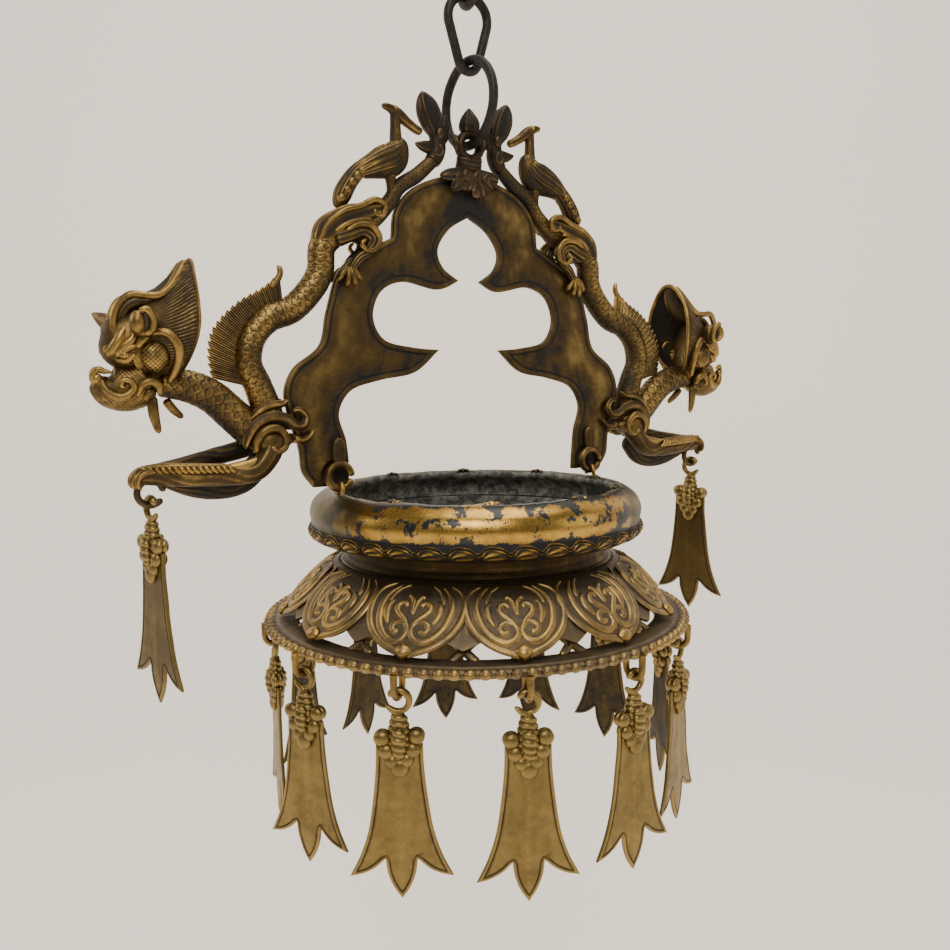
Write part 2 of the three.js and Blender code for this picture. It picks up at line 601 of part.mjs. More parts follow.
// Scrolled leaf on the front of the crown: five lobes fanned from its middle.
function scrollLeafShape() {
  const y = plateFront - seatGap;
  const base = hingeLevel + outline.crown;
  const lobes = [[-29, 1], [-20, -13], [-2, -19], [18, -24], [31, -3]];
  const parts = lobes.map(([x, h]) => limb([
    [x * 0.15, y - 3, base - 8, 3, 6], [x * 0.65, y - 5, base - 6 + h * 0.6, 4.2, 5.2],
    [x, y - 3.4, base - 3 + h, 2.4, 2.6],
  ], { steps: 3, sides: 5, side: new THREE.Vector3(0.6, 0, 0.8) }));
  const hub = new THREE.SphereGeometry(9, 8, 5).scale(1.2, 0.6, 0.8).translate(0, y - 3, base - 8);
  return joined([hub, ...parts], [archPlateBlank(seatGap)]);
}

// Iron ring and links
function ringShape() {
  return new THREE.TorusGeometry(ring.bendRadius, ring.wireRadius, 8, 26).rotateY(Math.PI / 2)
    .rotateZ(ring.turn * degrees).translate(0, eye.y, (ringBottom + ringTop) / 2);
}

function pearLinkShape() {
  const path = linkPath(pearBottom, pearTop, pearLink.bottomRadius, pearLink.topRadius, alongX, eye.y);
  return bentBar(path, pearLink.wireRadius, alongY, { sides: 7 });
}

function upperLinkShape() {
  const bend = upperLink.bendRadius;
  const path = linkPath(upperBottom, upperBottom + upperLink.length, bend, bend, alongY, eye.y);
  return bentBar(path, upperLink.wireRadius, alongX, { sides: 7 });
}

// Pendants and their eyes, drawn at the front of the lamp with the leaf facing -Y.
function eyeLoopShape() {
  const top = -flange.thickness - seatGap;
  const centre = new THREE.Vector3(0, -pendantCircle,
    top - eyeLoop.height + eyeLoop.wireRadius + eyeLoop.bendRadius);
  const bend = arc(centre, eyeLoop.bendRadius, 180, 360, 5, alongY, alongZ);
  const ends = [-1, 1].map((side) => new THREE.Vector3(0, centre.y + side * eyeLoop.bendRadius, top));
  return bentBar([ends[0], ...bend, ends[1]], eyeLoop.wireRadius, alongX, { closed: false, sides: 5 });
}

// The pendant hangs from its own origin, which is the middle of the hook's top wire.
function pendantShape() {
  const p = pendant;
  const loop = arc(new THREE.Vector3(0, 0, -p.hookRadius), p.hookRadius, 0, 324, 9, alongX, alongZ);
  const stemTop = -2 * p.hookRadius;
  const leafTop = stemTop - p.stemLength;
  const stem = limb([
    [0, 0, stemTop + 1, p.stemTopWidth / 2], [0, 0, stemTop - 6, p.stemTopWidth * 0.36],
    [0, 0, stemTop - p.stemLength * 0.45, p.stemThickness / 2, p.stemWidth * 0.42],
    [0, 0, stemTop - p.stemLength * 0.75, p.stemThickness / 2, p.stemWidth / 2],
    [0, 0, leafTop - 3, 2.4, p.leafTopWidth / 2 - 1],
  ], { steps: 4, sides: 6, side: alongX });
  return joined([bentBar(loop, p.wireRadius, alongY, { sides: 5 }), stem, leafGeometry(leafTop)]);
}

function leafGeometry(top) {
  const p = pendant;
  const tip = top - p.leafLength;
  const half = [
    [p.leafTopWidth / 2, top], [p.leafTopWidth / 2 + 5, top - p.leafLength * 0.4],
    [p.leafWidth / 2 - 8, tip + p.lobeRise + 15], [p.leafWidth / 2, tip + p.lobeRise],
    [p.leafWidth / 2 - 12, tip + p.lobeRise + 4], [10, tip + p.notchRise], [7, tip + 10],
  ];
  const path = new THREE.Shape();
  path.moveTo(0, tip);
  for (const [x, z] of half.slice().reverse()) path.lineTo(x, z);
  for (const [x, z] of half) path.lineTo(-x, z);
  return new THREE.ExtrudeGeometry(path, { depth: p.leafThickness, bevelEnabled: false })
    .rotateX(Math.PI / 2).translate(0, p.leafThickness / 2, 0);
}

// The assembly
const lamp = new THREE.Group();
lamp.position.set(0, -eye.y, -hangingPoint);

function add(name, geometry, look, parent = lamp) {
  const mesh = new THREE.Mesh(geometry, new THREE.MeshStandardMaterial(look));
  mesh.name = name;
  parent.add(mesh);
  return mesh;
}

add('upper_chain_link', upperLinkShape(), iron);
add('pear_link', pearLinkShape(), iron);
add('hanging_ring', ringShape(), iron);
add('arch_plate', archPlateShape(), brass);
add('eye_finial', eyeFinialShape(), darkBrass);
add('scroll_leaf', scrollLeafShape(), darkBrass);
for (const [sideName, hand] of [['left', -1], ['right', 1]]) {
  add(`dragon_${sideName}`, dragonShape(hand), brass);
  add(`bird_${sideName}`, birdShape(hand), brass);
  add(`bud_${sideName}`, joined(budGeometries(hand, 0)), darkBrass);
  add(`paw_ring_${sideName}`, pawRingGeometry(hand, 0), darkBrass);
  add(`foot_hook_${sideName}`, footHookShape(hand), brass);
  add(`dish_staple_${sideName}`, stapleShape(hand), brass);
}
add('dish', dishShape(), brass);
add('collar', collarShape(), darkBrass);
add('lotus_skirt', skirtShape(), brass);
add('flange', flangeShape(), brass);

// Pendants in a ring under the flange, then one under each dragon's paw
const loopShape = eyeLoopShape();
const hangingShape = pendantShape();
const pendantLevel = -flange.thickness - seatGap - eyeLoop.height + 2 * eyeLoop.wireRadius
  + seatGap + pendant.wireRadius;
for (let i = 0; i < pendantCount; i += 1) {
  const number = String(i + 1).padStart(2, '0');
  const around = new THREE.Group();
  around.rotation.z = (pendant.turn + 15 + (360 / pendantCount) * i) * degrees;
  lamp.add(around);
  add(`pendant_eye_${number}`, loopShape, brass, around);
  const hung = add(`pendant_${number}`, hangingShape, darkBrass, around);
  hung.position.set(0, -pendantCircle, pendantLevel);
  hung.rotation.z = pendantTwists[i] * degrees;
}
for (const [sideName, hand] of [['left', -1], ['right', 1]]) {
  const centre = pawRingCentre(hand);
  const hung = add(`paw_pendant_${sideName}`, hangingShape, darkBrass);
  hung.rotation.z = pendant.pawTurn * degrees;
  hung.position.copy(centre);
  hung.position.z += -pawRing.bendRadius + pawRing.wireRadius + seatGap + pendant.wireRadius;
}

export default lamp;
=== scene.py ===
# Hanging temple lamp of cast brass: arch with dragons and birds, oil dish on a lotus base, leaf
# pendants, iron ring and links. The packed model is the fixed frame; every casting is built over it.
# Shapes are worked out in millimetres and put into the mesh in metres.

import json
import math

import bpy
import numpy as np
from bpy.props import FloatProperty, FloatVectorProperty, IntProperty, PointerProperty
from mathutils import Matrix, Vector
from mathutils.geometry import delaunay_2d_cdt


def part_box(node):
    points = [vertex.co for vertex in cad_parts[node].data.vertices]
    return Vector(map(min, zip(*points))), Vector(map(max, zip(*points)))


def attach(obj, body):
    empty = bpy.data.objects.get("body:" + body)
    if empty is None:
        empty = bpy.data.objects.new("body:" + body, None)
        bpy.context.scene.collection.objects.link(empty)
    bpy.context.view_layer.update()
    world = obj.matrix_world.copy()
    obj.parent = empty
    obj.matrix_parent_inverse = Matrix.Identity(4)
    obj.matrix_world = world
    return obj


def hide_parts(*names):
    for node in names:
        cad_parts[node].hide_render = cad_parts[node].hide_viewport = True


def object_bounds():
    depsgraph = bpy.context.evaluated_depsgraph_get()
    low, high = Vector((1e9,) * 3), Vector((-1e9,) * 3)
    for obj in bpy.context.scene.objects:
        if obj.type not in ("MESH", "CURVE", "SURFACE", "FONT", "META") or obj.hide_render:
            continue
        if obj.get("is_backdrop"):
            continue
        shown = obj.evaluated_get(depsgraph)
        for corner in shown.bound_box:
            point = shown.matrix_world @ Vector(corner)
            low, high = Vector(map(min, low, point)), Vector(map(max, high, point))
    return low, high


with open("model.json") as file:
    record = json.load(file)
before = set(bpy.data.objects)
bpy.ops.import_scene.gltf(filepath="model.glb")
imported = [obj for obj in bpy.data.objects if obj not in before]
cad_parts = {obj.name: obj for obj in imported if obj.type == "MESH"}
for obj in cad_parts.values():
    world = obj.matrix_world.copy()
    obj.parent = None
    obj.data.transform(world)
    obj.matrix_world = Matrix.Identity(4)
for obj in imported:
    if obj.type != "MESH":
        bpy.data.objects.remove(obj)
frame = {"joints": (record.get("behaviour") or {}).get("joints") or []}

bl_info = {
    "name": "Hanging temple lamp",
    "version": (1, 0, 0),
    "blender": (4, 5, 0),
    "location": "View3D > Sidebar > Temple lamp",
    "description": "Builds the cast brass pieces of a hanging temple lamp over its packed model",
    "category": "Add Mesh",
}

MM = 0.001
TAU = 2 * math.pi
SIDES = ((-1, "left"), (1, "right"))


# Places taken from the frame, in millimetres
def node_box(name):
    """Lowest and highest corner of a packed node."""
    low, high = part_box(name)
    return np.array(low) / MM, np.array(high) / MM


def joint_of(name):
    """The record's joint with this name."""
    return next(joint for joint in frame["joints"] if joint["name"] == name)


def joint_place(name):
    return np.array(joint_of(name)["pos_m"]) / MM


def half_width(name):
    """Radius of a round node."""
    low, high = node_box(name)
    return (high[0] - low[0]) / 2


PLATE_LOW, PLATE_HIGH = node_box("arch_plate")
HINGE_LEVEL = joint_place("dish_swing")[2]
ARCH = np.array([0, (PLATE_LOW[1] + PLATE_HIGH[1]) / 2, HINGE_LEVEL])
PLATE_HALF = (PLATE_HIGH[1] - PLATE_LOW[1]) / 2
CROWN = PLATE_HIGH[2] - HINGE_LEVEL
RIGHT_SHARE = node_box("dragon_right")[1][0] / -node_box("dragon_left")[0][0]
SKIRT_LOW, SKIRT_HIGH = node_box("lotus_skirt")
SEAT_GAP = 0.3
BASE = np.array([0, (SKIRT_LOW[1] + SKIRT_HIGH[1]) / 2, SKIRT_LOW[2] - SEAT_GAP])
SKIRT_HEIGHT = SKIRT_HIGH[2] - SKIRT_LOW[2]
FLANGE_RADIUS = half_width("flange")
FLANGE_LOW = node_box("flange")[0][2] - BASE[2]
COLLAR_LOW, COLLAR_HIGH = (corner[2] - BASE[2] for corner in node_box("collar"))
COLLAR_RADIUS = half_width("collar")
DISH_LOW, DISH_HIGH = (corner[2] - BASE[2] for corner in node_box("dish"))
DISH_RADIUS = half_width("dish")
FIRST_TURN = math.radians(-3)
PETALS = 12


def side_share(hand):
    """Factor that takes distances from the middle to X: the right half is a little narrower."""
    return RIGHT_SHARE if hand > 0 else -1.0


# Curves and surfaces
def unit(vectors):
    return vectors / np.maximum(np.linalg.norm(vectors, axis=-1, keepdims=True), 1e-9)


def ease(low, high, values):
    """0 below low, 1 above high, and a smooth S between them."""
    t = np.clip((values - low) / (high - low), 0, 1)
    return t * t * (3 - 2 * t)


def bump(values, middle, width):
    """A rounded ridge, 1 at the middle and 0 from width away."""
    return np.clip(1 - ((values - middle) / width) ** 2, 0, 1) ** 1.5


def run_of(points):
    """Distance run along a broken line at each of its points."""
    return np.concatenate([[0], np.cumsum(np.linalg.norm(np.diff(points, axis=0), axis=1))])


def resampled(rows, run, at):
    """Each column of the rows, which lie at the given run, read off at other places."""
    return np.stack([np.interp(at, run, column) for column in np.asarray(rows, float).T], axis=1)


def round_angles(count):
    """Angles of so many equal steps of a full turn."""
    return np.arange(count) / count * TAU


def round_axis(radius, angle, level):
    """Points at a radius, an angle from the front and a level."""
    return np.stack(np.broadcast_arrays(radius * np.sin(angle), -radius * np.cos(angle), level), axis=-1)


def out_and_beside(turn):
    """Level directions away from the axis and along the ring, at an angle from the front."""
    return (np.array([math.sin(turn), -math.cos(turn), 0]), np.array([math.cos(turn), math.sin(turn), 0]))


def spline(stations, count):
    """Rows spaced evenly along a smooth curve through the stations; columns after the third ride along.

    Between two stations the curve is a cubic with the slopes of the neighbours' chords, run through
    by the square root of each chord, so that close stations don't overshoot."""
    points = np.asarray(stations, float)
    chords = np.linalg.norm(np.diff(points[:, :3], axis=0), axis=1)
    knots = np.concatenate([[0], np.cumsum(np.sqrt(chords))])
    slopes = np.gradient(points, knots, axis=0)
    fine = np.linspace(0, knots[-1], 30 * len(points))
    i = np.clip(np.searchsorted(knots, fine, side="right") - 1, 0, len(points) - 2)
    span = (knots[i + 1] - knots[i])[:, None]
    t = (fine - knots[i])[:, None] / span
    dense = ((2 * t**3 - 3 * t**2 + 1) * points[i] + (t**3 - 2 * t**2 + t) * span * slopes[i]
             + (3 * t**2 - 2 * t**3) * points[i + 1] + (t**3 - t**2) * span * slopes[i + 1])
    run = run_of(dense[:, :3])
    return resampled(dense, run, np.linspace(0, run[-1], count))


def curve_length(stations):
    """Length of the broken line through the stations."""
    return run_of(np.asarray(stations, float)[:, :3])[-1]


def traced(runs, step):
    """Points along flat curves that follow each other and meet at corners."""
    parts = []
    for run in runs:
        flat = [[u, h, 0.0] for u, h in run]
        parts.append(spline(flat, max(4, int(curve_length(flat) / step)))[:-1, :2])
    return np.concatenate(parts + [np.array([runs[-1][-1]], float)])


class Bar:
    """A round bar through stations [x, y, h, deep, flat].

    Each row is an ellipse across the path, with half width flat along the side vector and deep
    across it; both ends close in like half an ellipse over the end lengths."""

    def __init__(self, stations, sides=16, step=1.5, side=(0, 1, 0), ends=(3, 3), corners=1.0):
        rows = [(*row, row[3])[:5] if len(row) == 4 else row for row in stations]
        count = max(4, int(curve_length(rows) / step) + 1)
        line = spline(rows, count)
        self.path, deep, flat = line[:, :3], line[:, 3], line[:, 4]
        self.along = run_of(self.path)
        self.length = self.along[-1]
        closing = np.ones(count)
        for from_end, reach in ((self.along, ends[0]), (self.length - self.along, ends[1])):
            if reach:
                share = np.clip(from_end / reach, 0, 1)
                closing = closing * np.sqrt(np.maximum(1 - (1 - share) ** 2, 0.0025))
        self.turn = round_angles(sides)
        ahead = unit(np.gradient(self.path, axis=0))
        side = np.broadcast_to(np.asarray(side, float), self.path.shape)
        over = unit(side - (side * ahead).sum(1, keepdims=True) * ahead)
        up = np.cross(ahead, over)
        wave, rise = np.cos(self.turn), np.sin(self.turn)
        wave = np.sign(wave) * np.abs(wave) ** corners
        rise = np.sign(rise) * np.abs(rise) ** corners
        self.round = closing[:, None] * np.ones(sides)
        self.grid = (self.path[:, None] + over[:, None] * (flat * closing)[:, None, None] * wave[:, None]
                     + up[:, None] * (deep * closing)[:, None, None] * rise[:, None])
        self.girth = TAU * np.sqrt((deep**2 + flat**2) / 2)


def outward(grid):
    """Unit normals of a grid whose columns close on themselves, pointing away from its rows' middles."""
    turn = np.roll(grid, -1, axis=1) - np.roll(grid, 1, axis=1)
    normals = unit(np.cross(turn, np.gradient(grid, axis=0)))
    away = (normals * (grid - grid.mean(axis=1, keepdims=True))).sum()
    return normals if away > 0 else -normals


def raised(grid, height):
    """The grid moved out along its normals by a height in millimetres."""
    return grid + outward(grid) * np.asarray(height)[..., None]


def between(front, back):
    """A closed sheet: front columns one way and back columns the other way round."""
    return np.concatenate([front, back[:, ::-1]], axis=1)


def lumps(points, size, seed):
    """Soft unevenness from -1 to 1: a sum of sine waves in fixed pseudo-random directions."""
    rng = np.random.default_rng(seed)
    total = np.zeros(points.shape[:-1])
    for strength in (1.0, 0.6, 0.4, 0.3, 0.25):
        pull = unit(rng.normal(size=3)) * TAU / (size * strength**0.8)
        total = total + strength * np.sin(points @ pull + rng.uniform(0, TAU))
    return total / 2.55


def fish_scales(along, around):
    """Overlapping scales; along counts scale lengths towards the free edges, around scale widths.

    Rows start half a length apart and every other row is shifted by half a width. The free edge of
    a scale is a half circle, and the row that starts first lies on top. Returns the height, rising
    to the free edge, and a mask of the groove at its foot."""
    row = np.floor(2 * along)
    upper = row - 1
    lateral = (around - 0.5 * np.mod(upper, 2)) % 1.0 - 0.5
    upper_edge = 0.5 * upper + 0.5 + np.sqrt(np.clip(0.25 - lateral**2, 0, None))
    beyond = along - upper_edge
    on_upper = beyond < 0
    lateral_own = (around - 0.5 * np.mod(row, 2)) % 1.0 - 0.5
    own_edge = 0.5 * row + 0.5 + np.sqrt(np.clip(0.25 - lateral_own**2, 0, None))
    start = np.where(on_upper, 0.5 * upper, 0.5 * row)
    edge = np.where(on_upper, upper_edge, own_edge)
    height = np.clip((along - start) / np.maximum(edge - start, 1e-3), 0, 1) ** 1.6
    groove = np.where(on_upper, 0.0, np.exp(-((beyond / 0.085) ** 2)))
    return height, groove


def diamond_net(first, second):
    """Raised dots between two families of slanting cuts; 1 on a dot and 0 in a cut."""
    cuts = np.minimum(np.abs((first + second) % 1.0 - 0.5), np.abs((first - second) % 1.0 - 0.5))
    return ease(0.05, 0.3, 0.5 - cuts)


class Casting:
    """Closed shells of points in millimetres that are cast into one mesh."""

    def __init__(self):
        self.points, self.relief, self.quads, self.fans = [], [], [], []
        self.count = 0

    def take(self, points, relief, quads, fans):
        """One closed shell of quads and triangles, turned so that its faces look outwards."""
        corners = np.concatenate([fans, quads[:, :3], quads[:, [0, 2, 3]]])
        a, b, c = (points[corners[:, k]] for k in range(3))
        if (a * np.cross(b, c)).sum() < 0:
            quads, fans = quads[:, ::-1], fans[:, ::-1]
        self.points.append(points)
        self.relief.append(relief)
        self.quads.append(quads + self.count)
        self.fans.append(fans + self.count)
        self.count += len(points)

    def add(self, grid, relief=0.6, ring=False, sheet=False):
        """A grid whose columns close on themselves. Its rows close too (ring), or its end rows are
        filled: by a fan about their middle, or from front to back (sheet)."""
        rows, columns = grid.shape[:2]
        points = grid.reshape(-1, 3)
        shade = np.broadcast_to(np.asarray(relief, float), (rows, columns)).reshape(-1)
        i, j = np.meshgrid(np.arange(rows if ring else rows - 1), np.arange(columns), indexing="ij")
        i, j = i.ravel(), j.ravel()
        after, beside = (i + 1) % rows, (j + 1) % columns
        quads = np.stack([i * columns + j, i * columns + beside, after * columns + beside,
                          after * columns + j], axis=1)
        fans = np.zeros((0, 3), int)
        last = (rows - 1) * columns
        if sheet:
            half = columns // 2
            k = np.arange(half - 1)
            cap = np.stack([k, columns - 1 - k, columns - 2 - k, k + 1], axis=1)
            quads = np.concatenate([quads, cap, last + cap[:, ::-1]])
        elif not ring:
            k = np.arange(columns)
            nearby = (k + 1) % columns
            first, final = len(points), len(points) + 1
            points = np.concatenate([points, grid[[0, -1]].mean(axis=1)])
            shade = np.concatenate([shade, [shade[:columns].mean(), shade[-columns:].mean()]])
            fans = np.concatenate([
                np.stack([nearby, k, np.full(columns, first)], axis=1),
                np.stack([last + k, last + nearby, np.full(columns, final)], axis=1)])
        self.take(points, shade, quads, fans)

    def bar(self, stations, relief=0.6, skin=None, **options):
        """A round bar; its skin, where it has one, gives the height and the relief of its surface."""
        shape = Bar(stations, **options)
        grid = shape.grid
        if skin:
            height, relief = skin(shape)
            grid = raised(grid, height * shape.round)
        self.add(grid, relief)

    def pair(self, stations, relief=0.6, **options):
        """The same bar on the near and on the far side of the middle plane."""
        for near in (1, -1):
            self.bar([[u, near * y, *rest] for u, y, *rest in stations], relief, **options)

    def ball(self, centre, radii, relief=0.7, sides=16, rows=10, height=None):
        """An ellipsoid with the given half axes."""
        polar = np.linspace(0.03, 0.97, rows)[:, None] * math.pi
        turn = round_angles(sides)
        grid = np.stack(np.broadcast_arrays(np.sin(polar) * np.cos(turn), np.sin(polar) * np.sin(turn),
                                            np.cos(polar)), axis=-1)
        grid = grid * np.asarray(radii) + np.asarray(centre)
        if height is not None:
            relief = relief(grid)
            grid = raised(grid, height(grid))
        self.add(grid, relief)

    def twins(self, centre, *shape):
        """The same ellipsoid on the near and on the far side of the middle plane."""
        for near in (1, -1):
            self.ball((centre[0], near * centre[1], centre[2]), *shape)

    def cast(self, name, body, slot, material, stands_for=(), origin=(0, 0, 0), turn=0.0,
             across=1.0, crease=50):
        """Makes the mesh object, in metres in the shared frame, and lets it ride on its body."""
        points = np.concatenate(self.points) * np.array((across, 1, 1))
        spin = np.array([[math.cos(turn), -math.sin(turn), 0], [math.sin(turn), math.cos(turn), 0],
                         [0, 0, 1]])
        points = (points @ spin.T + np.asarray(origin)) * MM
        quads, fans = np.concatenate(self.quads), np.concatenate(self.fans)
        if across < 0:
            quads, fans = quads[:, ::-1], fans[:, ::-1]
        mesh = bpy.data.meshes.new(name)
        mesh.vertices.add(len(points))
        mesh.vertices.foreach_set("co", points.ravel())
        corners = np.concatenate([quads.ravel(), fans.ravel()])
        starts = np.concatenate([np.arange(len(quads)) * 4, 4 * len(quads) + np.arange(len(fans)) * 3])
        mesh.loops.add(len(corners))
        mesh.loops.foreach_set("vertex_index", corners)
        mesh.polygons.add(len(starts))
        mesh.polygons.foreach_set("loop_start", starts)
        mesh.update(calc_edges=True)
        mesh.validate()
        mesh.shade_smooth()
        mesh.set_sharp_from_angle(angle=math.radians(crease))
        store(mesh, "relief", np.concatenate(self.relief))
        store(mesh, "wear", edge_wear(mesh))
        return place(name, mesh, body, material, stands_for)


def store(mesh, name, values):
    """A value for each vertex, which the materials read by its name."""
    mesh.attributes.new(name, "FLOAT", "POINT").data.foreach_set("value", values.astype(np.float32))


def edge_wear(mesh):
    """How far each vertex stands out: the mean bend of its edges, 0 in a hollow and 1 on a ridge.

    The bend of an edge is how much the normal turns along it, per millimetre of edge."""
    count = len(mesh.vertices)
    co, normal = np.empty(count * 3, np.float32), np.empty(count * 3, np.float32)
    mesh.vertices.foreach_get("co", co)
    mesh.vertex_normals.foreach_get("vector", normal)
    co, normal = co.reshape(-1, 3) / MM, normal.reshape(-1, 3)
    ends = np.empty(len(mesh.edges) * 2, np.int32)
    mesh.edges.foreach_get("vertices", ends)
    a, b = ends.reshape(-1, 2).T
    step = co[b] - co[a]
    bend = ((normal[b] - normal[a]) * step).sum(axis=1) / np.maximum((step**2).sum(axis=1), 1e-4)
    edges_at = np.maximum(np.bincount(a, minlength=count) + np.bincount(b, minlength=count), 1)
    mean = (np.bincount(a, bend, count) + np.bincount(b, bend, count)) / edges_at
    for _ in range(2):
        mean = (mean + (np.bincount(a, mean[b], count) + np.bincount(b, mean[a], count)) / edges_at) / 2
    return 0.5 + 0.5 * np.tanh(mean * 3.5)


def linked(name, data):
    """A new object that holds the data, linked into the scene."""
    item = bpy.data.objects.new(name, data)
    bpy.context.scene.collection.objects.link(item)
    return item


def place(name, mesh, body, material, stands_for=()):
    """Links a finished mesh at the origin and says what it rides on and stands for."""
    piece = linked(name, mesh)
    mesh.materials.append(material)
    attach(piece, body)
    if stands_for:
        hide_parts(*stands_for)
    return piece


# Flat castings: a plate with a shaped edge
def edge_distance(points, start, end):
    """Distance of each point to the nearest of the segments from start to end."""
    best = np.full(len(points), np.inf)
    span = end - start
    square = np.maximum((span**2).sum(axis=1), 1e-9)
    for chunk in range(0, len(points), 2000):
        part = points[chunk:chunk + 2000, None]
        share = np.clip(((part - start) * span).sum(axis=2) / square, 0, 1)
        gap = np.linalg.norm(part - (start + share[..., None] * span), axis=2)
        best[chunk:chunk + 2000] = gap.min(axis=1)
    return best


def inside(points, outline):
    """True for points within the closed outline: a line to the right crosses it an odd number of times."""
    x, z = points[:, 0, None], points[:, 1, None]
    (x0, z0), (x1, z1) = outline.T, np.roll(outline, -1, axis=0).T
    rising = (z0 > z) != (z1 > z)
    slope = np.where(np.abs(z1 - z0) < 1e-9, 1e-9, z1 - z0)
    return (rising & (x < x0 + (z - z0) * (x1 - x0) / slope)).sum(axis=1) % 2 == 1


class Plate:
    """A flat casting: triangles within an outline, with rows of points that follow its edge."""

    def __init__(self, outline, offsets, spacing, extra=None):
        self.outline = outline
        following = np.roll(outline, -1, axis=0)
        ahead = unit(following - np.roll(outline, 1, axis=0))
        inward = np.stack([-ahead[:, 1], ahead[:, 0]], axis=1)
        area = (outline[:, 0] * following[:, 1] - following[:, 0] * outline[:, 1]).sum()
        inward = inward if area > 0 else -inward
        low, high = outline.min(axis=0), outline.max(axis=0)
        across = np.arange(low[0], high[0], spacing)
        upward = np.arange(low[1], high[1], spacing * 0.87)
        x, z = np.meshgrid(across, upward)
        x = x + spacing / 2 * (np.arange(len(upward)) % 2)[:, None]
        field = np.stack([x.ravel(), z.ravel()], axis=1)
        field = field[inside(field, outline)]
        field = field[edge_distance(field, outline, following) > offsets[-1] + spacing * 0.5]
        rings = []
        for offset in offsets:
            ring = outline + inward * offset
            far = edge_distance(ring, outline, following) > offset * 0.97
            rings.append(ring[far & inside(ring, outline)])
        inner = np.concatenate(rings + [field] + ([] if extra is None else [extra]))
        count = len(outline)
        points = np.concatenate([outline, inner])
        found, _, faces, origin, _, _ = delaunay_2d_cdt(
            [Vector(point) for point in points], [], [list(range(count))], 1, 1e-5)
        self.flat = np.array([tuple(vertex) for vertex in found])
        self.faces = np.array([face for face in faces if len(face) == 3], int)
        rank = {source: k for k, sources in enumerate(origin) for source in sources}
        self.rim = np.array([rank[k] for k in range(count)])
        self.distance = edge_distance(self.flat, outline, following)

    def shell(self, casting, front, back, relief, back_relief=None):
        """Both faces at their own depths, joined by a strip round the rim."""
        count = len(self.flat)
        faces = [np.stack([self.flat[:, 0], depth, self.flat[:, 1]], axis=1) for depth in (front, back)]
        near, far = self.rim, self.rim + count
        strip = np.stack([near, np.roll(near, -1), np.roll(far, -1), far], axis=1)
        a, b, c = (self.flat[self.faces[0, k]] for k in range(3))
        anticlockwise = (b[0] - a[0]) * (c[1] - a[1]) > (b[1] - a[1]) * (c[0] - a[0])
        ring = self.flat[self.rim]
        ring_area = (ring[:, 0] * np.roll(ring[:, 1], -1) - np.roll(ring[:, 0], -1) * ring[:, 1]).sum()
        strip = strip[:, ::-1] if (ring_area > 0) == anticlockwise else strip
        fans = np.concatenate([self.faces, self.faces[:, ::-1] + count])
        behind = relief if back_relief is None else back_relief
        casting.take(np.concatenate(faces), np.concatenate([relief, behind]), strip, fans)


# Materials
# Depth of the finest bumps, in metres
BUMP_DEPTH = 0.0006


def joint_node(tree, kind, inputs=None, **settings):
    """A node with settings, its inputs filled with values or with links from other nodes."""
    node = tree.nodes.new(kind)
    for key, value in settings.items():
        setattr(node, key, value)
    for key, value in (inputs or {}).items():
        if isinstance(value, bpy.types.NodeSocket):
            tree.links.new(value, node.inputs[key])
        else:
            node.inputs[key].default_value = value
    return node


def calc(tree, operation, *values, clamp=False):
    return joint_node(tree, "ShaderNodeMath", dict(enumerate(values)), operation=operation,
                      use_clamp=clamp).outputs[0]


def plus(tree, first, second, **options):
    return calc(tree, "ADD", first, second, **options)


def minus(tree, first, second):
    return calc(tree, "SUBTRACT", first, second)


def times(tree, first, second):
    return calc(tree, "MULTIPLY", first, second)


def own_place(tree):
    """The point's place in its own object, in metres."""
    return joint_node(tree, "ShaderNodeTexCoord").outputs["Object"]


def stored(tree, name):
    """A value that the mesh holds for each vertex."""
    return joint_node(tree, "ShaderNodeAttribute", attribute_name=name).outputs["Fac"]


def blend_colour(tree, factor, first, second):
    node = joint_node(tree, "ShaderNodeMix", {0: factor, 6: first, 7: second}, data_type="RGBA")
    return node.outputs[2]


def span(tree, value, low, high, to_low=0.0, to_high=1.0):
    """The value taken from one range to another, with smooth ends."""
    return joint_node(tree, "ShaderNodeMapRange", {0: value, 1: low, 2: high, 3: to_low, 4: to_high},
                      interpolation_type="SMOOTHSTEP").outputs[0]


def noise(tree, place_socket, scale, detail=3.0, rough=0.55):
    return joint_node(tree, "ShaderNodeTexNoise", {
        "Vector": place_socket, "Scale": scale, "Detail": detail, "Roughness": rough}).outputs[0]


def rgba(colour):
    return (*colour, 1.0)


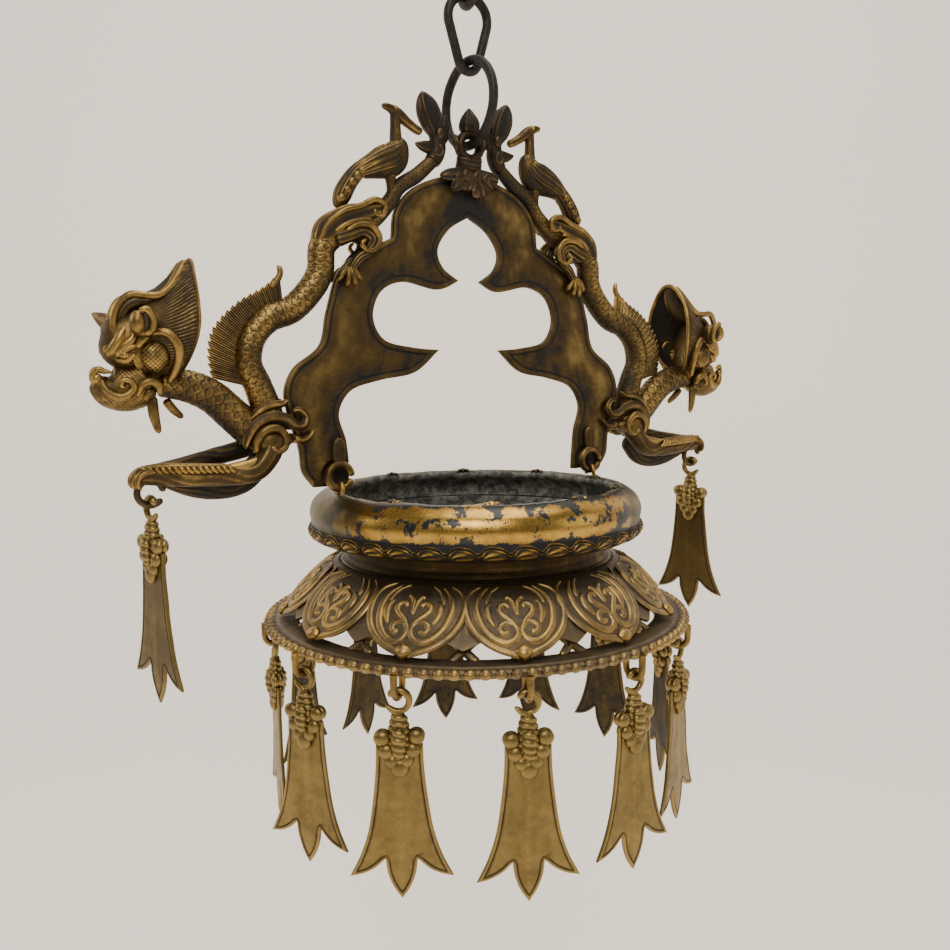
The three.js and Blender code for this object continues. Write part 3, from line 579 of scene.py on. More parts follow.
def patina_group():
    """Old cast brass: bright where it stands out and is handled, brown on faces, black in hollows.

    The lift is the casting's relief and edge wear with noise at three sizes added, less the grime;
    it picks the colour between dark, brown and bright."""
    tree = bpy.data.node_groups.new("Brass patina", "ShaderNodeTree")
    for name, kind, value in (("Bright", "NodeSocketColor", (0.5, 0.31, 0.085, 1)),
                              ("Brown", "NodeSocketColor", (0.11, 0.07, 0.03, 1)),
                              ("Dark", "NodeSocketColor", (0.012, 0.01, 0.008, 1)),
                              ("Grime", "NodeSocketFloat", 0.5), ("Mottling", "NodeSocketFloat", 0.35),
                              ("Pits", "NodeSocketFloat", 0.4)):
        tree.interface.new_socket(name, in_out="INPUT", socket_type=kind).default_value = value
    for name, kind in (("Colour", "NodeSocketColor"), ("Roughness", "NodeSocketFloat"),
                       ("Metal", "NodeSocketFloat"), ("Height", "NodeSocketFloat"),
                       ("Lift", "NodeSocketFloat")):
        tree.interface.new_socket(name, in_out="OUTPUT", socket_type=kind)
    given = tree.nodes.new("NodeGroupInput").outputs
    where = own_place(tree)
    relief = stored(tree, "relief")
    wear = stored(tree, "wear")
    clouds = noise(tree, where, 38.0, 3.0, 0.6)
    smudges = noise(tree, where, 150.0, 4.0, 0.65)
    grain = noise(tree, where, 900.0, 3.0, 0.6)
    cells = joint_node(tree, "ShaderNodeTexVoronoi", {"Vector": where, "Scale": 420.0}).outputs[0]
    pits = span(tree, cells, 0.08, 0.3, 1.0, 0.0)
    pits = times(tree, pits, span(tree, smudges, 0.5, 0.66))
    pits = times(tree, pits, given["Pits"])
    uneven = plus(tree, minus(tree, clouds, 0.5), times(tree, minus(tree, smudges, 0.5), 0.8))
    uneven = times(tree, uneven, times(tree, given["Mottling"], 2.6))
    lift = plus(tree, relief, times(tree, minus(tree, wear, 0.5), 0.9))
    lift = plus(tree, lift, uneven)
    lift = plus(tree, lift, times(tree, minus(tree, grain, 0.5), 0.4))
    lift = minus(tree, lift, given["Grime"])
    lift = minus(tree, lift, times(tree, pits, 0.5))
    colour = blend_colour(tree, span(tree, lift, -0.4, 0.1), given["Dark"], given["Brown"])
    colour = blend_colour(tree, span(tree, lift, 0.05, 0.85), colour, given["Bright"])
    rough = span(tree, lift, -0.4, 0.6, 0.62, 0.4)
    rough = plus(tree, rough, times(tree, minus(tree, grain, 0.5), 0.25))
    height = plus(tree, times(tree, grain, 0.35), times(tree, smudges, 0.5))
    height = minus(tree, height, times(tree, pits, 0.7))
    results = tree.nodes.new("NodeGroupOutput").inputs
    tree.links.new(colour, results["Colour"])
    tree.links.new(rough, results["Roughness"])
    tree.links.new(span(tree, lift, -0.45, 0.1, 0.4, 1.0), results["Metal"])
    tree.links.new(height, results["Height"])
    tree.links.new(lift, results["Lift"])
    return tree


def new_material(name):
    material = bpy.data.materials.new(name)
    material.use_nodes = True
    tree = material.node_tree
    return material, tree, tree.nodes["Principled BSDF"]


def dress(tree, shader, colour, rough, height, bumps):
    """Gives the shader its colour, roughness and the small bumps of the cast or forged surface."""
    uneven = joint_node(tree, "ShaderNodeBump", {"Height": height, "Strength": bumps,
                                                 "Distance": BUMP_DEPTH})
    for key, socket in (("Base Color", colour), ("Roughness", rough), ("Normal", uneven.outputs[0])):
        tree.links.new(socket, shader.inputs[key])


def brass(name, bright, brown, dark, grime, mottling, pits, bumps=0.25, extra=None):
    """Cast brass with the patina group; extra may change its colour and roughness."""
    known = bpy.data.materials.get(name)
    if known:
        return known
    material, tree, shader = new_material(name)
    group = bpy.data.node_groups.get("Brass patina") or patina_group()
    patina = joint_node(tree, "ShaderNodeGroup", node_tree=group)
    for key, value in (("Bright", rgba(bright)), ("Brown", rgba(brown)), ("Dark", rgba(dark)),
                       ("Grime", grime), ("Mottling", mottling), ("Pits", pits)):
        patina.inputs[key].default_value = value
    colour, rough = patina.outputs["Colour"], patina.outputs["Roughness"]
    metal, height = patina.outputs["Metal"], patina.outputs["Height"]
    if extra:
        colour, rough, metal, height = extra(tree, colour, rough, metal, height)
    dress(tree, shader, colour, rough, height, bumps)
    tree.links.new(metal, shader.inputs["Metallic"])
    return material


def finish():
    return bpy.context.scene.lamp_finish


def aged_brass():
    """The dragons, birds and hooks: golden brown with worn gold on the ridges."""
    look = finish()
    return brass("Aged brass", look.bright, look.brown, look.dark, 0.3, 0.34, 0.6)


def plate_brass():
    """The arch plate: mottled golden faces that fade to black towards the openings."""
    look = finish()
    return brass("Mottled plate brass", look.plate, look.brown, look.dark, 0.22, 0.5, 0.7)


def dark_brass():
    """The crown's ornaments: dark brown cast brass."""
    look = finish()
    return brass("Dark brown brass", look.crown, (0.055, 0.038, 0.024), look.dark, 0.42, 0.25, 0.6)


def pendant_brass():
    """Pendants: dull olive brown, evenly worn."""
    look = finish()
    return brass("Olive pendant brass", look.olive, (0.13, 0.092, 0.034), look.dark, 0.08, 0.26, 0.6, 0.2)


def collar_brass():
    """The collar: dark brown with fine turned lines."""
    look = finish()
    return brass("Turned collar brass", (0.2, 0.125, 0.04), (0.07, 0.045, 0.018), look.dark, 0.4, 0.4, 0.2)


def lotus_brass():
    """The lotus skirt and flange: grey brown ground with worn golden ridges."""
    look = finish()
    return brass("Lotus brass", look.bright, (0.15, 0.113, 0.068), (0.055, 0.044, 0.031), 0.34, 0.34, 0.4)


def band_brass():
    """The band of wave scrolls: black, with gold left on the ridges."""
    look = finish()
    return brass("Black and gold band brass", look.gold, (0.1, 0.064, 0.02), (0.01, 0.01, 0.01),
                 0.62, 0.45, 0.4)


def sooty_dish(tree, colour, rough, metal, height):
    """Polished gold with black stains on the front of the bulge, dull at the sides, sooty in the bowl."""
    where = own_place(tree)
    soot = stored(tree, "soot")
    stains = noise(tree, where, 70.0, 8.0, 0.7)
    clouds = noise(tree, where, 17.0, 3.0, 0.6)
    # Painted sheen: the bulge is gold on the side that faces the camera and dull brown at the sides, and a
    # little smoother on that side.
    facing = joint_node(tree, "ShaderNodeVectorMath", {0: where, 1: (-0.33, -0.94, 0.0)},
                        operation="DOT_PRODUCT").outputs["Value"]
    front_sheen = plus(tree, facing, times(tree, minus(tree, clouds, 0.5), 0.16))
    front_sheen = span(tree, front_sheen, 0.062, 0.1)
    dull = blend_colour(tree, span(tree, stains, 0.4, 0.62), (0.13, 0.1, 0.045, 1), (0.055, 0.048, 0.033, 1))
    colour = blend_colour(tree, front_sheen, dull, colour)
    stained = plus(tree, stains, times(tree, soot, 0.3))
    stained = times(tree, span(tree, stained, 0.535, 0.56), span(tree, front_sheen, 0.05, 0.4, 0.25, 1.0))
    crust = noise(tree, where, 110.0, 8.0, 0.72)
    black = blend_colour(tree, span(tree, crust, 0.4, 0.62), (0.055, 0.057, 0.053, 1),
                         (0.27, 0.262, 0.215, 1))
    inside = span(tree, soot, 0.9, 1.0)
    black = blend_colour(tree, inside, (0.016, 0.016, 0.017, 1), black)
    cover = calc(tree, "MAXIMUM", stained, span(tree, soot, 0.6, 0.8), clamp=True)
    colour = blend_colour(tree, cover, colour, black)
    rough = plus(tree, minus(tree, rough, times(tree, front_sheen, 0.12)), times(tree, inside, 0.3), clamp=True)
    metal = times(tree, metal, minus(tree, 1.0, times(tree, cover, 0.85)))
    height = plus(tree, height, times(tree, times(tree, crust, inside), 6.0))
    return colour, rough, metal, height


def dish_brass():
    """The oil dish: bright gold bulge with black stains, sooty inside."""
    look = finish()
    return brass("Stained dish brass", look.gold, (0.2, 0.12, 0.03), look.dark, 0.15, 0.25, 0.4, 0.3,
                 sooty_dish)


def black_iron():
    """Forged iron: black, dull, with brown worn spots."""
    known = bpy.data.materials.get("Black iron")
    if known:
        return known
    material, tree, shader = new_material("Black iron")
    where = own_place(tree)
    wear = stored(tree, "wear")
    rust, grain = noise(tree, where, 210.0, 4.0, 0.6), noise(tree, where, 1100.0, 2.0, 0.5)
    colour = blend_colour(tree, span(tree, rust, 0.42, 0.7), rgba(finish().iron), (0.05, 0.038, 0.03, 1))
    colour = blend_colour(tree, times(tree, span(tree, wear, 0.6, 0.9), 0.35), colour,
                          (0.12, 0.11, 0.1, 1))
    rough = span(tree, rust, 0.3, 0.7, 0.42, 0.66)
    height = plus(tree, times(tree, rust, 0.8), times(tree, grain, 0.4))
    dress(tree, shader, colour, rough, height, 0.35)
    shader.inputs["Metallic"].default_value = 0.75
    return material


# Iron ring and links
def bent_wire(path, radius, up, seed, sides=20):
    """A closed ring of round wire along a closed flat path, with the lumps of forging."""
    ahead = unit(np.roll(path, -1, axis=0) - np.roll(path, 1, axis=0))
    up = np.broadcast_to(np.asarray(up, float), path.shape)
    over = np.cross(ahead, up)
    turn = round_angles(sides)
    grid = (path[:, None] + radius * (up[:, None] * np.cos(turn)[:, None]
                                      + over[:, None] * np.sin(turn)[:, None]))
    swell = 1 - 0.035 * (1 + lumps(grid, 14, seed))
    return path[:, None] + (grid - path[:, None]) * swell[..., None]


def link_path(low, high, low_radius, high_radius, right, count=72):
    """Two arcs in an upright plane, joined by their common tangents; low and high are the bends' middles."""
    lean = math.asin((high_radius - low_radius) / np.linalg.norm(high - low))
    up = np.array([0, 0, 1.0])
    arcs = []
    for centre, radius, start, end in ((low, low_radius, math.pi + lean, TAU - lean),
                                       (high, high_radius, -lean, math.pi + lean)):
        angle = np.linspace(start, end, count // 2)[:, None]
        arcs.append(centre + radius * (np.cos(angle) * right + np.sin(angle) * up))
    corners = np.concatenate(arcs + [arcs[0][:1]])
    run = run_of(corners)
    return resampled(corners, run, np.arange(count) / count * run[-1])


def build_iron(sizes):
    """The ring hangs in the pear link and the pear link in the upper link, as in the frame."""
    low, high = node_box("hanging_ring")
    wire = sizes.wire / MM / 2
    middle, radius = (low + high) / 2, (high[2] - low[2]) / 2 - wire
    axis = np.array(joint_of("arch_swing")["axis"])
    side = np.cross(axis, (0, 0, 1.0))
    angle = round_angles(110)[:, None]
    ring = Casting()
    path = middle + radius * (np.cos(angle) * axis + np.sin(angle) * np.array([0, 0, 1.0]))
    ring.add(bent_wire(path, wire, side, 3), 0.5, ring=True)
    ring.cast("iron_ring", "ring", "black_iron", black_iron(), ["hanging_ring"])
    for node, body, right, bend_low, seed in (("pear_link", "pear_link", (1.0, 0, 0), 8.6, 5),
                                              ("upper_chain_link", "upper_link", (0, 1.0, 0), 9.2, 8)):
        low, high = node_box(node)
        right = np.array(right)
        half = abs(((high - low) / 2) @ right) - wire
        middle = (low + high) / 2
        bottom = np.array([middle[0], middle[1], low[2] + wire + bend_low])
        top = np.array([middle[0], middle[1], high[2] - wire - half])
        link = Casting()
        plane = np.cross(right, (0, 0, 1.0))
        link.add(bent_wire(link_path(bottom, top, bend_low, half, right), wire, plane, seed), 0.5, ring=True)
        link.cast("iron_" + node, body, "black_iron", black_iron(), [node])


# Arch plate
def arch_outline():
    """Outline of the plate from the crown round the left foot to the apex and back, and which of
    its points lie on the opening. Distances are from the middle, heights from the foot hooks."""
    hook = abs(joint_hook("left"))
    outside = [
        [[0, CROWN], [25, CROWN - 4], [49, CROWN - 15], [63, CROWN - 32], [66, 185]],
        [[66, 185], [84, 176], [107, 161], [119, 129], [125, 105], [145.5, 88], [152.5, 72],
         [149.5, 52], [143, 30], [141, 13], [hook + 18.5, 1.5]],
    ]
    opening = [
        [[hook - 10.5, 1.5], [hook - 9.5, 16], [hook - 7.5, 35], [112, 55], [103, 71], [79, 79],
         [49, 85], [28, 102]],
        [[28, 102], [52, 104], [75, 110], [83, 126], [76, 145], [58, 153], [26, 148.5], [10, 155.5]],
        [[10, 155.5], [24, 165.5], [28, 178], [18, 194], [0, 205]],
    ]
    outer, inner = traced(outside, 1.7), traced(opening, 1.7)
    left = np.concatenate([outer, inner]) * (-1, 1)
    right = (np.concatenate([outer, inner]) * (RIGHT_SHARE, 1))[::-1][1:-1]
    on_opening = np.arange(len(left)) >= len(outer)
    return np.concatenate([left, right]), np.concatenate([on_opening, on_opening[::-1][1:-1]])


def joint_hook(side):
    low, high = node_box("foot_hook_" + side)
    return (low[0] + high[0]) / 2


def build_arch_plate(sizes):
    """The plate with a rolled rim outside, a black band round the opening and a cut line inside both.

    The thickness is a function of the distance to the edge; two round pockets give the staples room."""
    outline, on_opening = arch_outline()
    angle = np.linspace(0, TAU, 40, endpoint=False)[:, None]
    pockets = [np.array([joint_hook(side), 8.9]) for _, side in SIDES]
    rings = [pocket + radius * np.concatenate([np.cos(angle), np.sin(angle)], axis=1)
             for pocket in pockets for radius in (11.6, 12.4, 13.2)]
    extra = np.concatenate(rings)
    extra = extra[inside(extra, outline)]
    extra = extra[edge_distance(extra, outline, np.roll(outline, -1, axis=0)) > 1.0]
    plate = Plate(outline, (0.45, 1.0, 1.7, 2.5, 3.3, 3.9, 4.4, 4.9, 5.6, 7.0), 3.0, extra)
    ends = np.roll(outline, -1, axis=0)
    to_opening = edge_distance(plate.flat, outline[on_opening], ends[on_opening])
    outer = to_opening > plate.distance + 0.05
    far = plate.distance
    reach = (0, 0.45, 1.0, 1.7, 2.5, 3.3, 3.9, 4.4, 4.9, 5.6, 7.0)
    rolled = np.interp(far, reach, (2.1, 2.9, 3.3, 3.5, 3.4, 3.0, 2.45, 2.3, 2.6, 2.85, 2.95))
    band = np.interp(far, reach, (2.3, 2.9, 3.15, 3.25, 3.25, 3.2, 2.7, 2.35, 2.7, 2.95, 3.0))
    half = np.where(outer, rolled, band)
    flat3 = np.stack([plate.flat[:, 0], np.zeros(len(far)), plate.flat[:, 1]], axis=1)
    half = half + 0.12 * lumps(flat3, 34, 21) * ease(1, 6, far)
    rim_tone = np.interp(far, reach, (0.1, 0.14, 0.2, 0.24, 0.2, 0.12, 0.0, 0.0, 0.05, 0.14, 0.24))
    band_tone = np.interp(far, reach, (0.0, 0.0, 0.04, 0.06, 0.04, 0.0, -0.1, -0.1, -0.05, 0.0, 0.0))
    tone = np.where(outer, rim_tone, band_tone)
    face = ease(7, 26, to_opening) * ease(4, 14, far)
    tone = np.where(far > 7, 0.04 + 0.62 * face, tone)
    crown_shadow = ease(34, 8, np.abs(plate.flat[:, 0])) * ease(190, 208, plate.flat[:, 1])
    tone = tone - 0.5 * crown_shadow
    front = -half
    for pocket in pockets:
        depth = ease(13.0, 12.2, np.linalg.norm(plate.flat - pocket, axis=1))
        front = front + depth * (4.2 - PLATE_HALF + half)
    casting = Casting()
    scale = PLATE_HALF / 3.5
    plate.shell(casting, front * scale, half * scale, tone)
    casting.cast("arch_casting", "arch", "aged_brass", plate_brass(), ["arch_plate"], ARCH, crease=60)


# Oil dish, collar, lotus skirt and flange
def turned(profile, columns, step=1.6):
    """Profile points [radius, level] carried round the axis: rows along the profile, columns round it."""
    flat = [[r, z, 0] for r, z in profile]
    line = spline(flat, max(6, int(curve_length(flat) / step)))[:, :2]
    return round_axis(line[:, :1], round_angles(columns), line[:, 1:]), line


def build_dish(sizes):
    """A bulging bowl with a rolled lip that rises and falls a little, rough with soot inside."""
    bulge = DISH_RADIUS - 1.9
    rim = DISH_RADIUS - 24.4
    low, high = DISH_LOW, DISH_HIGH
    profile = [[1.0, low], [60, low], [COLLAR_RADIUS + 2, low + 0.2], [DISH_RADIUS - 8, low + 3.4],
               [DISH_RADIUS - 3.4, low + 7], [DISH_RADIUS - 2.8, low + 11], [bulge - 1.4, low + 14],
               [bulge - 0.4, low + 18.5], [bulge - 0.4, low + 23], [bulge - 3.2, low + 30],
               [bulge - 9.5, high - 3.4], [rim + 8, high - 0.9], [rim + 3.2, high - 0.4],
               [rim + 0.2, high - 1.9], [rim + 0.4, high - 4.4], [rim + 4.4, high - 7.4],
               [bulge - 10.4, high - 12], [bulge - 7, high - 18], [bulge - 8.6, low + 14],
               [bulge - 12, low + 10], [COLLAR_RADIUS + 3, low + 7], [COLLAR_RADIUS - 6, low + 5],
               [COLLAR_RADIUS - 18, low + 4.3], [50, low + 4.2], [1.0, low + 4.2]]
    grid, line = turned(profile, 400, 1.9)
    rows = np.arange(len(line))
    inner = (rows > np.argmax(line[:, 1]))[:, None]
    depth = inner * ease(rim + 1, rim - 5, line[:, :1])
    streak = np.sin((grid @ (0.9, 0.5, 1.7)) * 1.3 + 4 * lumps(grid, 26, 12))
    cross = np.sin((grid @ (-0.8, 0.7, 1.5)) * 1.1 + 4 * lumps(grid, 30, 14))
    height = 0.25 * lumps(grid, 40, 4)
    height = height + depth * (1.3 * lumps(grid, 15, 12) + 0.6 * np.maximum(streak, cross) + 0.2)
    on_lip = np.exp(-(((line[:, :1] - rim - 1) / 5.0) ** 2)) * (line[:, 1:] > high - 8)
    height = height + on_lip * (0.8 * lumps(grid, 17, 33) + 0.3 * lumps(grid, 6, 35))
    grid = raised(grid, height)
    grid[..., 2] += on_lip * 1.4 * (lumps(grid * (1, 1, 0), 30, 31) - 1)
    tone = 0.62 - 0.2 * inner + depth * 0.2 * np.maximum(streak, cross)
    casting = Casting()
    casting.add(grid, tone)
    level = line[:, 1:] - low
    outside = 0.55 * ease(33, 39, level) + 0.75 * ease(16, 11, level)
    soot = np.clip(inner * 1.0 + (1 - inner) * outside, 0, 1)
    soot = [np.concatenate([np.broadcast_to(soot, grid.shape[:2]).ravel(), [0.8, 1]])]
    for k in range(10):
        turn = FIRST_TURN + TAU * (k + 0.42) / 10
        out, beside = out_and_beside(turn)
        count = casting.count
        for aside, wide, lift in ((-3.6, 1.8, 0.2), (0, 2.3, 1.0), (3.6, 1.8, 0.2)):
            casting.bar([[*(out * (rim + 7) + beside * aside * 0.5 + (0, 0, high - 2.6)), 1.0, wide],
                         [*(out * (rim + 3.2) + beside * aside + (0, 0, high - 1.0 + lift)), 1.4, wide],
                         [*(out * (rim - 0.6) + beside * aside * 1.5 + (0, 0, high - 1.6)), 0.8,
                          wide * 0.5]],
                        0.9, side=beside, sides=10, step=1.0)
        soot.append(np.zeros(casting.count - count))
    piece = casting.cast("oil_dish", "dish", "aged_brass", dish_brass(), ["dish"], BASE, crease=60)
    store(piece.data, "soot", np.concatenate(soot))
    build_wave_band(sizes)


def build_wave_band(sizes):
    """The band of scrolls under the bulge: a pearled double ridge runs in leaning waves round it, and
    under each crest a shell of curved lines opens from one side and ends in a curl."""
    columns, rows = 40 * sizes.waves, 26
    angle = round_angles(columns)
    wave = angle[None] / TAU * sizes.waves
    level = np.linspace(0.6, 14.0, rows)[:, None]
    lean = (wave + 0.10 * np.sin(TAU * wave)) % 1.0
    crest = 9.8 + 2.2 * np.cos(TAU * (lean - 0.42))
    pearls = 0.5 + 0.5 * np.cos(TAU * wave * 11)
    ridge = bump(level, crest, 0.85) * (0.65 + 0.35 * pearls) + 0.9 * bump(level, crest - 1.9, 0.75)
    pitch = TAU * DISH_RADIUS / sizes.waves
    x, z = (lean - 0.06) * pitch, level - 5.0
    middle, half = 0.37 * pitch, 0.38 * pitch
    dome = np.sqrt(np.clip(1 - ((x - middle) / half) ** 2 - (z / 4.7) ** 2, 0, 1))
    shell = dome > 0
    lines = 0.5 + 0.5 * np.cos(np.arctan2(z + 4.6, x + 1.0) * 17 + 0.2 * x)
    far = np.hypot(x - 0.87 * pitch, z + 1.4)
    curl_ring = bump(far, 2.2, 0.8) + bump(far, 0.0, 0.8)
    height = 1.1 * ridge + shell * dome * (1.0 + 0.7 * lines) + 0.9 * curl_ring * ~shell
    tone = np.clip(0.75 * ridge + shell * dome * (0.2 + 0.75 * lines) + 0.6 * curl_ring * ~shell, 0, 1)
    belly = np.interp(level, (0.6, 3, 6, 9, 12, 14.0), (-7.2, -3.4, -1.2, -1.0, -1.9, -3.2))
    radius = DISH_RADIUS - 0.7 + belly + 0.95 * height * ease(14.0, 12.6, level) * ease(0.6, 2.0, level)
    front = round_axis(radius, angle, DISH_LOW + level)
    back = round_axis(DISH_RADIUS - 11, angle, DISH_LOW + level)
    grid = np.swapaxes(np.concatenate([front, back[::-1][[0, -1]]]), 0, 1)
    shade = np.swapaxes(np.concatenate([tone, tone[:2] * 0]), 0, 1)
    casting = Casting()
    casting.add(grid, shade, ring=True)
    casting.cast("wave_band", "dish", "aged_brass", band_brass(), (), BASE)


def build_collar(sizes):
    """A waisted ring with fine turned lines."""
    radius = COLLAR_RADIUS
    low, high = COLLAR_LOW, COLLAR_HIGH
    wall = [[radius - 6.5, low], [radius, low + 0.1], [radius - 2.4, low + 2], [radius - 4.5, low + 6],
            [radius - 4.3, low + 10], [radius - 3.2, low + 13.5], [radius - 1, high - 0.1],
            [radius - 6.5, high]]
    run = run_of(wall)
    at = np.linspace(0, run[-1], 52)
    line = resampled(wall, run, at)
    angle = round_angles(180)
    grid = round_axis(line[:, :1], angle, line[:, 1:])
    cut = 0.5 + 0.5 * np.cos(at * 4.1)[:, None]
    face = ((at > 7) & (at < run[-1] - 7))[:, None]
    depth = 0.0022 * face * cut * (0.6 + 0.4 * np.sin(angle * 7 + at[:, None]))
    grid = grid * (1 + depth[..., None] * np.array((1, 1, 0)))
    casting = Casting()
    casting.add(grid, np.where(face, 0.3 + 0.35 * cut, 0.3) * np.ones(len(angle)), ring=True)
    casting.cast("turned_collar", "dish", "dark_brass", collar_brass(), ["collar"], BASE, crease=60)


SKIRT_TOP = COLLAR_RADIUS + 2
SKIRT_TIP = FLANGE_RADIUS - 15.3
SKIRT_CLEFT = FLANGE_RADIUS - 37.0


def lotus_level(radius):
    """Height of the lotus over the flange at a radius: nearly a cone, a little full at the shoulder."""
    run = (radius - SKIRT_TOP) / (SKIRT_TIP - SKIRT_TOP)
    return SKIRT_HEIGHT * (1 - np.abs(run) ** 1.4) + 2.2 * run


def on_lotus(angle, radius, lift):
    """A point on the lotus, lifted along its slope's normal."""
    slope = (lotus_level(radius + 0.2) - lotus_level(radius - 0.2)) / 0.4
    lean = np.sqrt(1 + slope**2)
    out = radius - lift * slope / lean
    return round_axis(out, angle, SEAT_GAP + lotus_level(radius) + lift / lean)


def petal_width(run):
    """Half width of a petal as a share of its place, from the shoulder (0) to the tip (1)."""
    return np.interp(run, (0, 0.5, 0.58, 0.66, 0.73, 0.79, 0.85, 0.905, 0.94, 0.97, 1.0),
                     (1.0, 1.0, 0.99, 0.94, 0.87, 0.78, 0.66, 0.50, 0.33, 0.16, 0.03))


def petal_place(turn, aside, run, lift):
    """A point on the lotus beside a petal's middle line, by millimetres aside and the run down it."""
    radius = SKIRT_TOP + (SKIRT_TIP - SKIRT_TOP) * run
    return on_lotus(turn + aside / radius, radius, lift)


# One half of the petal's ornament: bars through stations [millimetres from the petal's middle, how
# far down it, half width]
PETAL_RIM = ((20, 0.08, 0.6), (29, 0.22, 1.2), (32.6, 0.36, 1.6), (33.6, 0.5, 1.8), (32.6, 0.62, 1.9),
             (29.4, 0.73, 1.9), (24, 0.82, 1.9), (16.5, 0.895, 1.9), (9, 0.94, 1.9), (2, 0.975, 1.8))
PETAL_SCROLL = ((15, 0.12, 0.7), (22.4, 0.28, 1.4), (25.4, 0.44, 1.8), (25.0, 0.58, 1.9), (22.6, 0.70, 1.9),
                (17.0, 0.80, 1.9), (10.4, 0.845, 1.9), (5.0, 0.825, 1.8), (1.9, 0.765, 1.7),
                (1.9, 0.69, 1.6), (4.6, 0.64, 1.6), (8.8, 0.635, 1.6), (12.4, 0.675, 1.7),
                (12.2, 0.735, 1.7), (8.8, 0.745, 1.5), (8.0, 0.71, 1.2))
PETAL_STEM = ((1.9, 0.72, 0.9), (3.4, 0.64, 1.3), (6.6, 0.585, 1.5), (9.6, 0.54, 1.6), (11.4, 0.49, 1.6),
              (10.6, 0.43, 1.5), (7.4, 0.40, 1.4), (5.4, 0.43, 1.2), (6.0, 0.465, 0.8))
PETAL_COMMA = ((14.6, 0.36, 0.7), (17.6, 0.44, 1.8), (18.2, 0.54, 2.1), (17.0, 0.61, 1.5), (15.4, 0.67, 0.6))
PETAL_RIDGE = ((8, 0.10, 0.5), (15.4, 0.22, 1.0), (18.6, 0.33, 1.2), (19.6, 0.42, 0.7))
PETAL_SPROUT = ((0.3, 0.56, 0.8), (0.8, 0.47, 1.0), (1.6, 0.38, 1.3), (4.6, 0.31, 1.2), (5.6, 0.35, 0.7))


def build_lotus(sizes):
    """Twelve petals on a ribbed skirt, each with a round rim, a pair of scrolls and a pointed boss.

    A petal is a pillow on the skirt: across it goes from -1 to 1 between its edges and down it from
    0 at the shoulder to 1 at the tip. Its rims and scrolls are bars that follow the skirt."""
    casting = Casting()
    angle = round_angles(576)
    phase = ((angle - FIRST_TURN) / TAU * PETALS - 0.5) % 1.0
    off = 1 - np.abs(((phase + 0.5) % 1.0) * 2 - 1)
    edge = SKIRT_TIP - 4 - (SKIRT_TIP - SKIRT_CLEFT - 6) * off**1.1
    share = np.linspace(0, 1, 16)[:, None]
    radius = SKIRT_TOP + (edge - SKIRT_TOP) * share
    ribs = 0.45 * np.cos(angle * 144) * ease(0.12, 0.3, share) * ease(0.95, 0.6, share)
    front = on_lotus(angle[:, None], radius.T, (ribs - 0.4).T)
    back = on_lotus(angle[:, None], radius.T, -2.6 + 0 * ribs.T)
    tone = np.concatenate([(0.3 + 0.3 * ribs).T, 0.1 + 0 * ribs.T], axis=1)
    casting.add(between(front, back), tone, ring=True)
    top = SEAT_GAP + SKIRT_HEIGHT - 0.1
    land = np.array([[COLLAR_RADIUS - 5, top], [SKIRT_TOP, top], [SKIRT_TOP + 1.4, top - 1.2],
                     [SKIRT_TOP + 0.4, top - 3.4], [COLLAR_RADIUS - 5, top - 3]])
    land = np.repeat(land, 3, axis=0)
    casting.add(round_axis(land[:, 0], angle[::4, None], land[:, 1]), 0.25, ring=True)
    down = np.linspace(0, 1, 40)[:, None] ** 0.9
    over = np.sin(np.linspace(-1, 1, 33) * math.pi / 2)[None]
    radius = SKIRT_TOP + 5 + (SKIRT_TIP - SKIRT_TOP - 5.4) * down
    shoulder = ease(0.02, 0.26, down)
    lift = 0.1 + shoulder * (0.9 + 0.9 * (1 - over**2) * np.sin(math.pi * down) ** 0.6)
    lift = lift + ease(0.9, 0.97, down) * 0.6
    tone = 0.3 - 0.08 * shoulder + 0 * over
    run = (radius - SKIRT_TOP) / (SKIRT_TIP - SKIRT_TOP)
    half_share = petal_width(run)
    for k in range(PETALS):
        turn = FIRST_TURN + TAU * (k + 0.5) / PETALS
        half = math.pi / PETALS * half_share * 0.97
        front = on_lotus(turn + half * over, radius, lift)
        back = on_lotus(turn + half * over, radius, -1.0)
        casting.add(between(front, back), between(tone, tone * 0 + 0.1), sheet=True)
        out, beside = out_and_beside(turn)
        side = out + (0, 0, 0.8)
        rng = np.random.default_rng(50 + k)
        for hand in (-1, 1):
            for scroll, lift_to, shade in ((PETAL_RIM, 0.8, 0.42), (PETAL_SCROLL, 1.5, 0.46),
                                           (PETAL_STEM, 1.9, 0.48), (PETAL_COMMA, 1.6, 0.42),
                                           (PETAL_RIDGE, 1.2, 0.36), (PETAL_SPROUT, 2.0, 0.42)):
                rows = np.array(scroll)
                aside = hand * rows[:, 0] * (1 + rng.uniform(-0.05, 0.05))
                line = petal_place(turn, aside, rows[:, 1] + rng.uniform(-0.008, 0.008),
                                   lift_to * ease(-0.05, 0.2, rows[:, 1]))
                casting.bar(np.column_stack([line, rows[:, 2] * 1.4, rows[:, 2] * 0.75]), shade, side=side,
                            sides=8, step=1.3, ends=(1.5, 1.5))
        tip = petal_place(turn, 0.0, np.array([0.86, 0.93, 0.985, 1.03]), np.array([1.6, 2.6, 2.4, 0.6]))
        casting.bar(np.column_stack([tip, [1.0, 2.8, 2.6, 0.5], [1.5, 5.8, 4.6, 0.6]]), 0.6,
                    side=beside, sides=12, step=1.0, corners=1.3)
    casting.cast("lotus_petals", "dish", "aged_brass", lotus_brass(), ["lotus_skirt"], BASE)


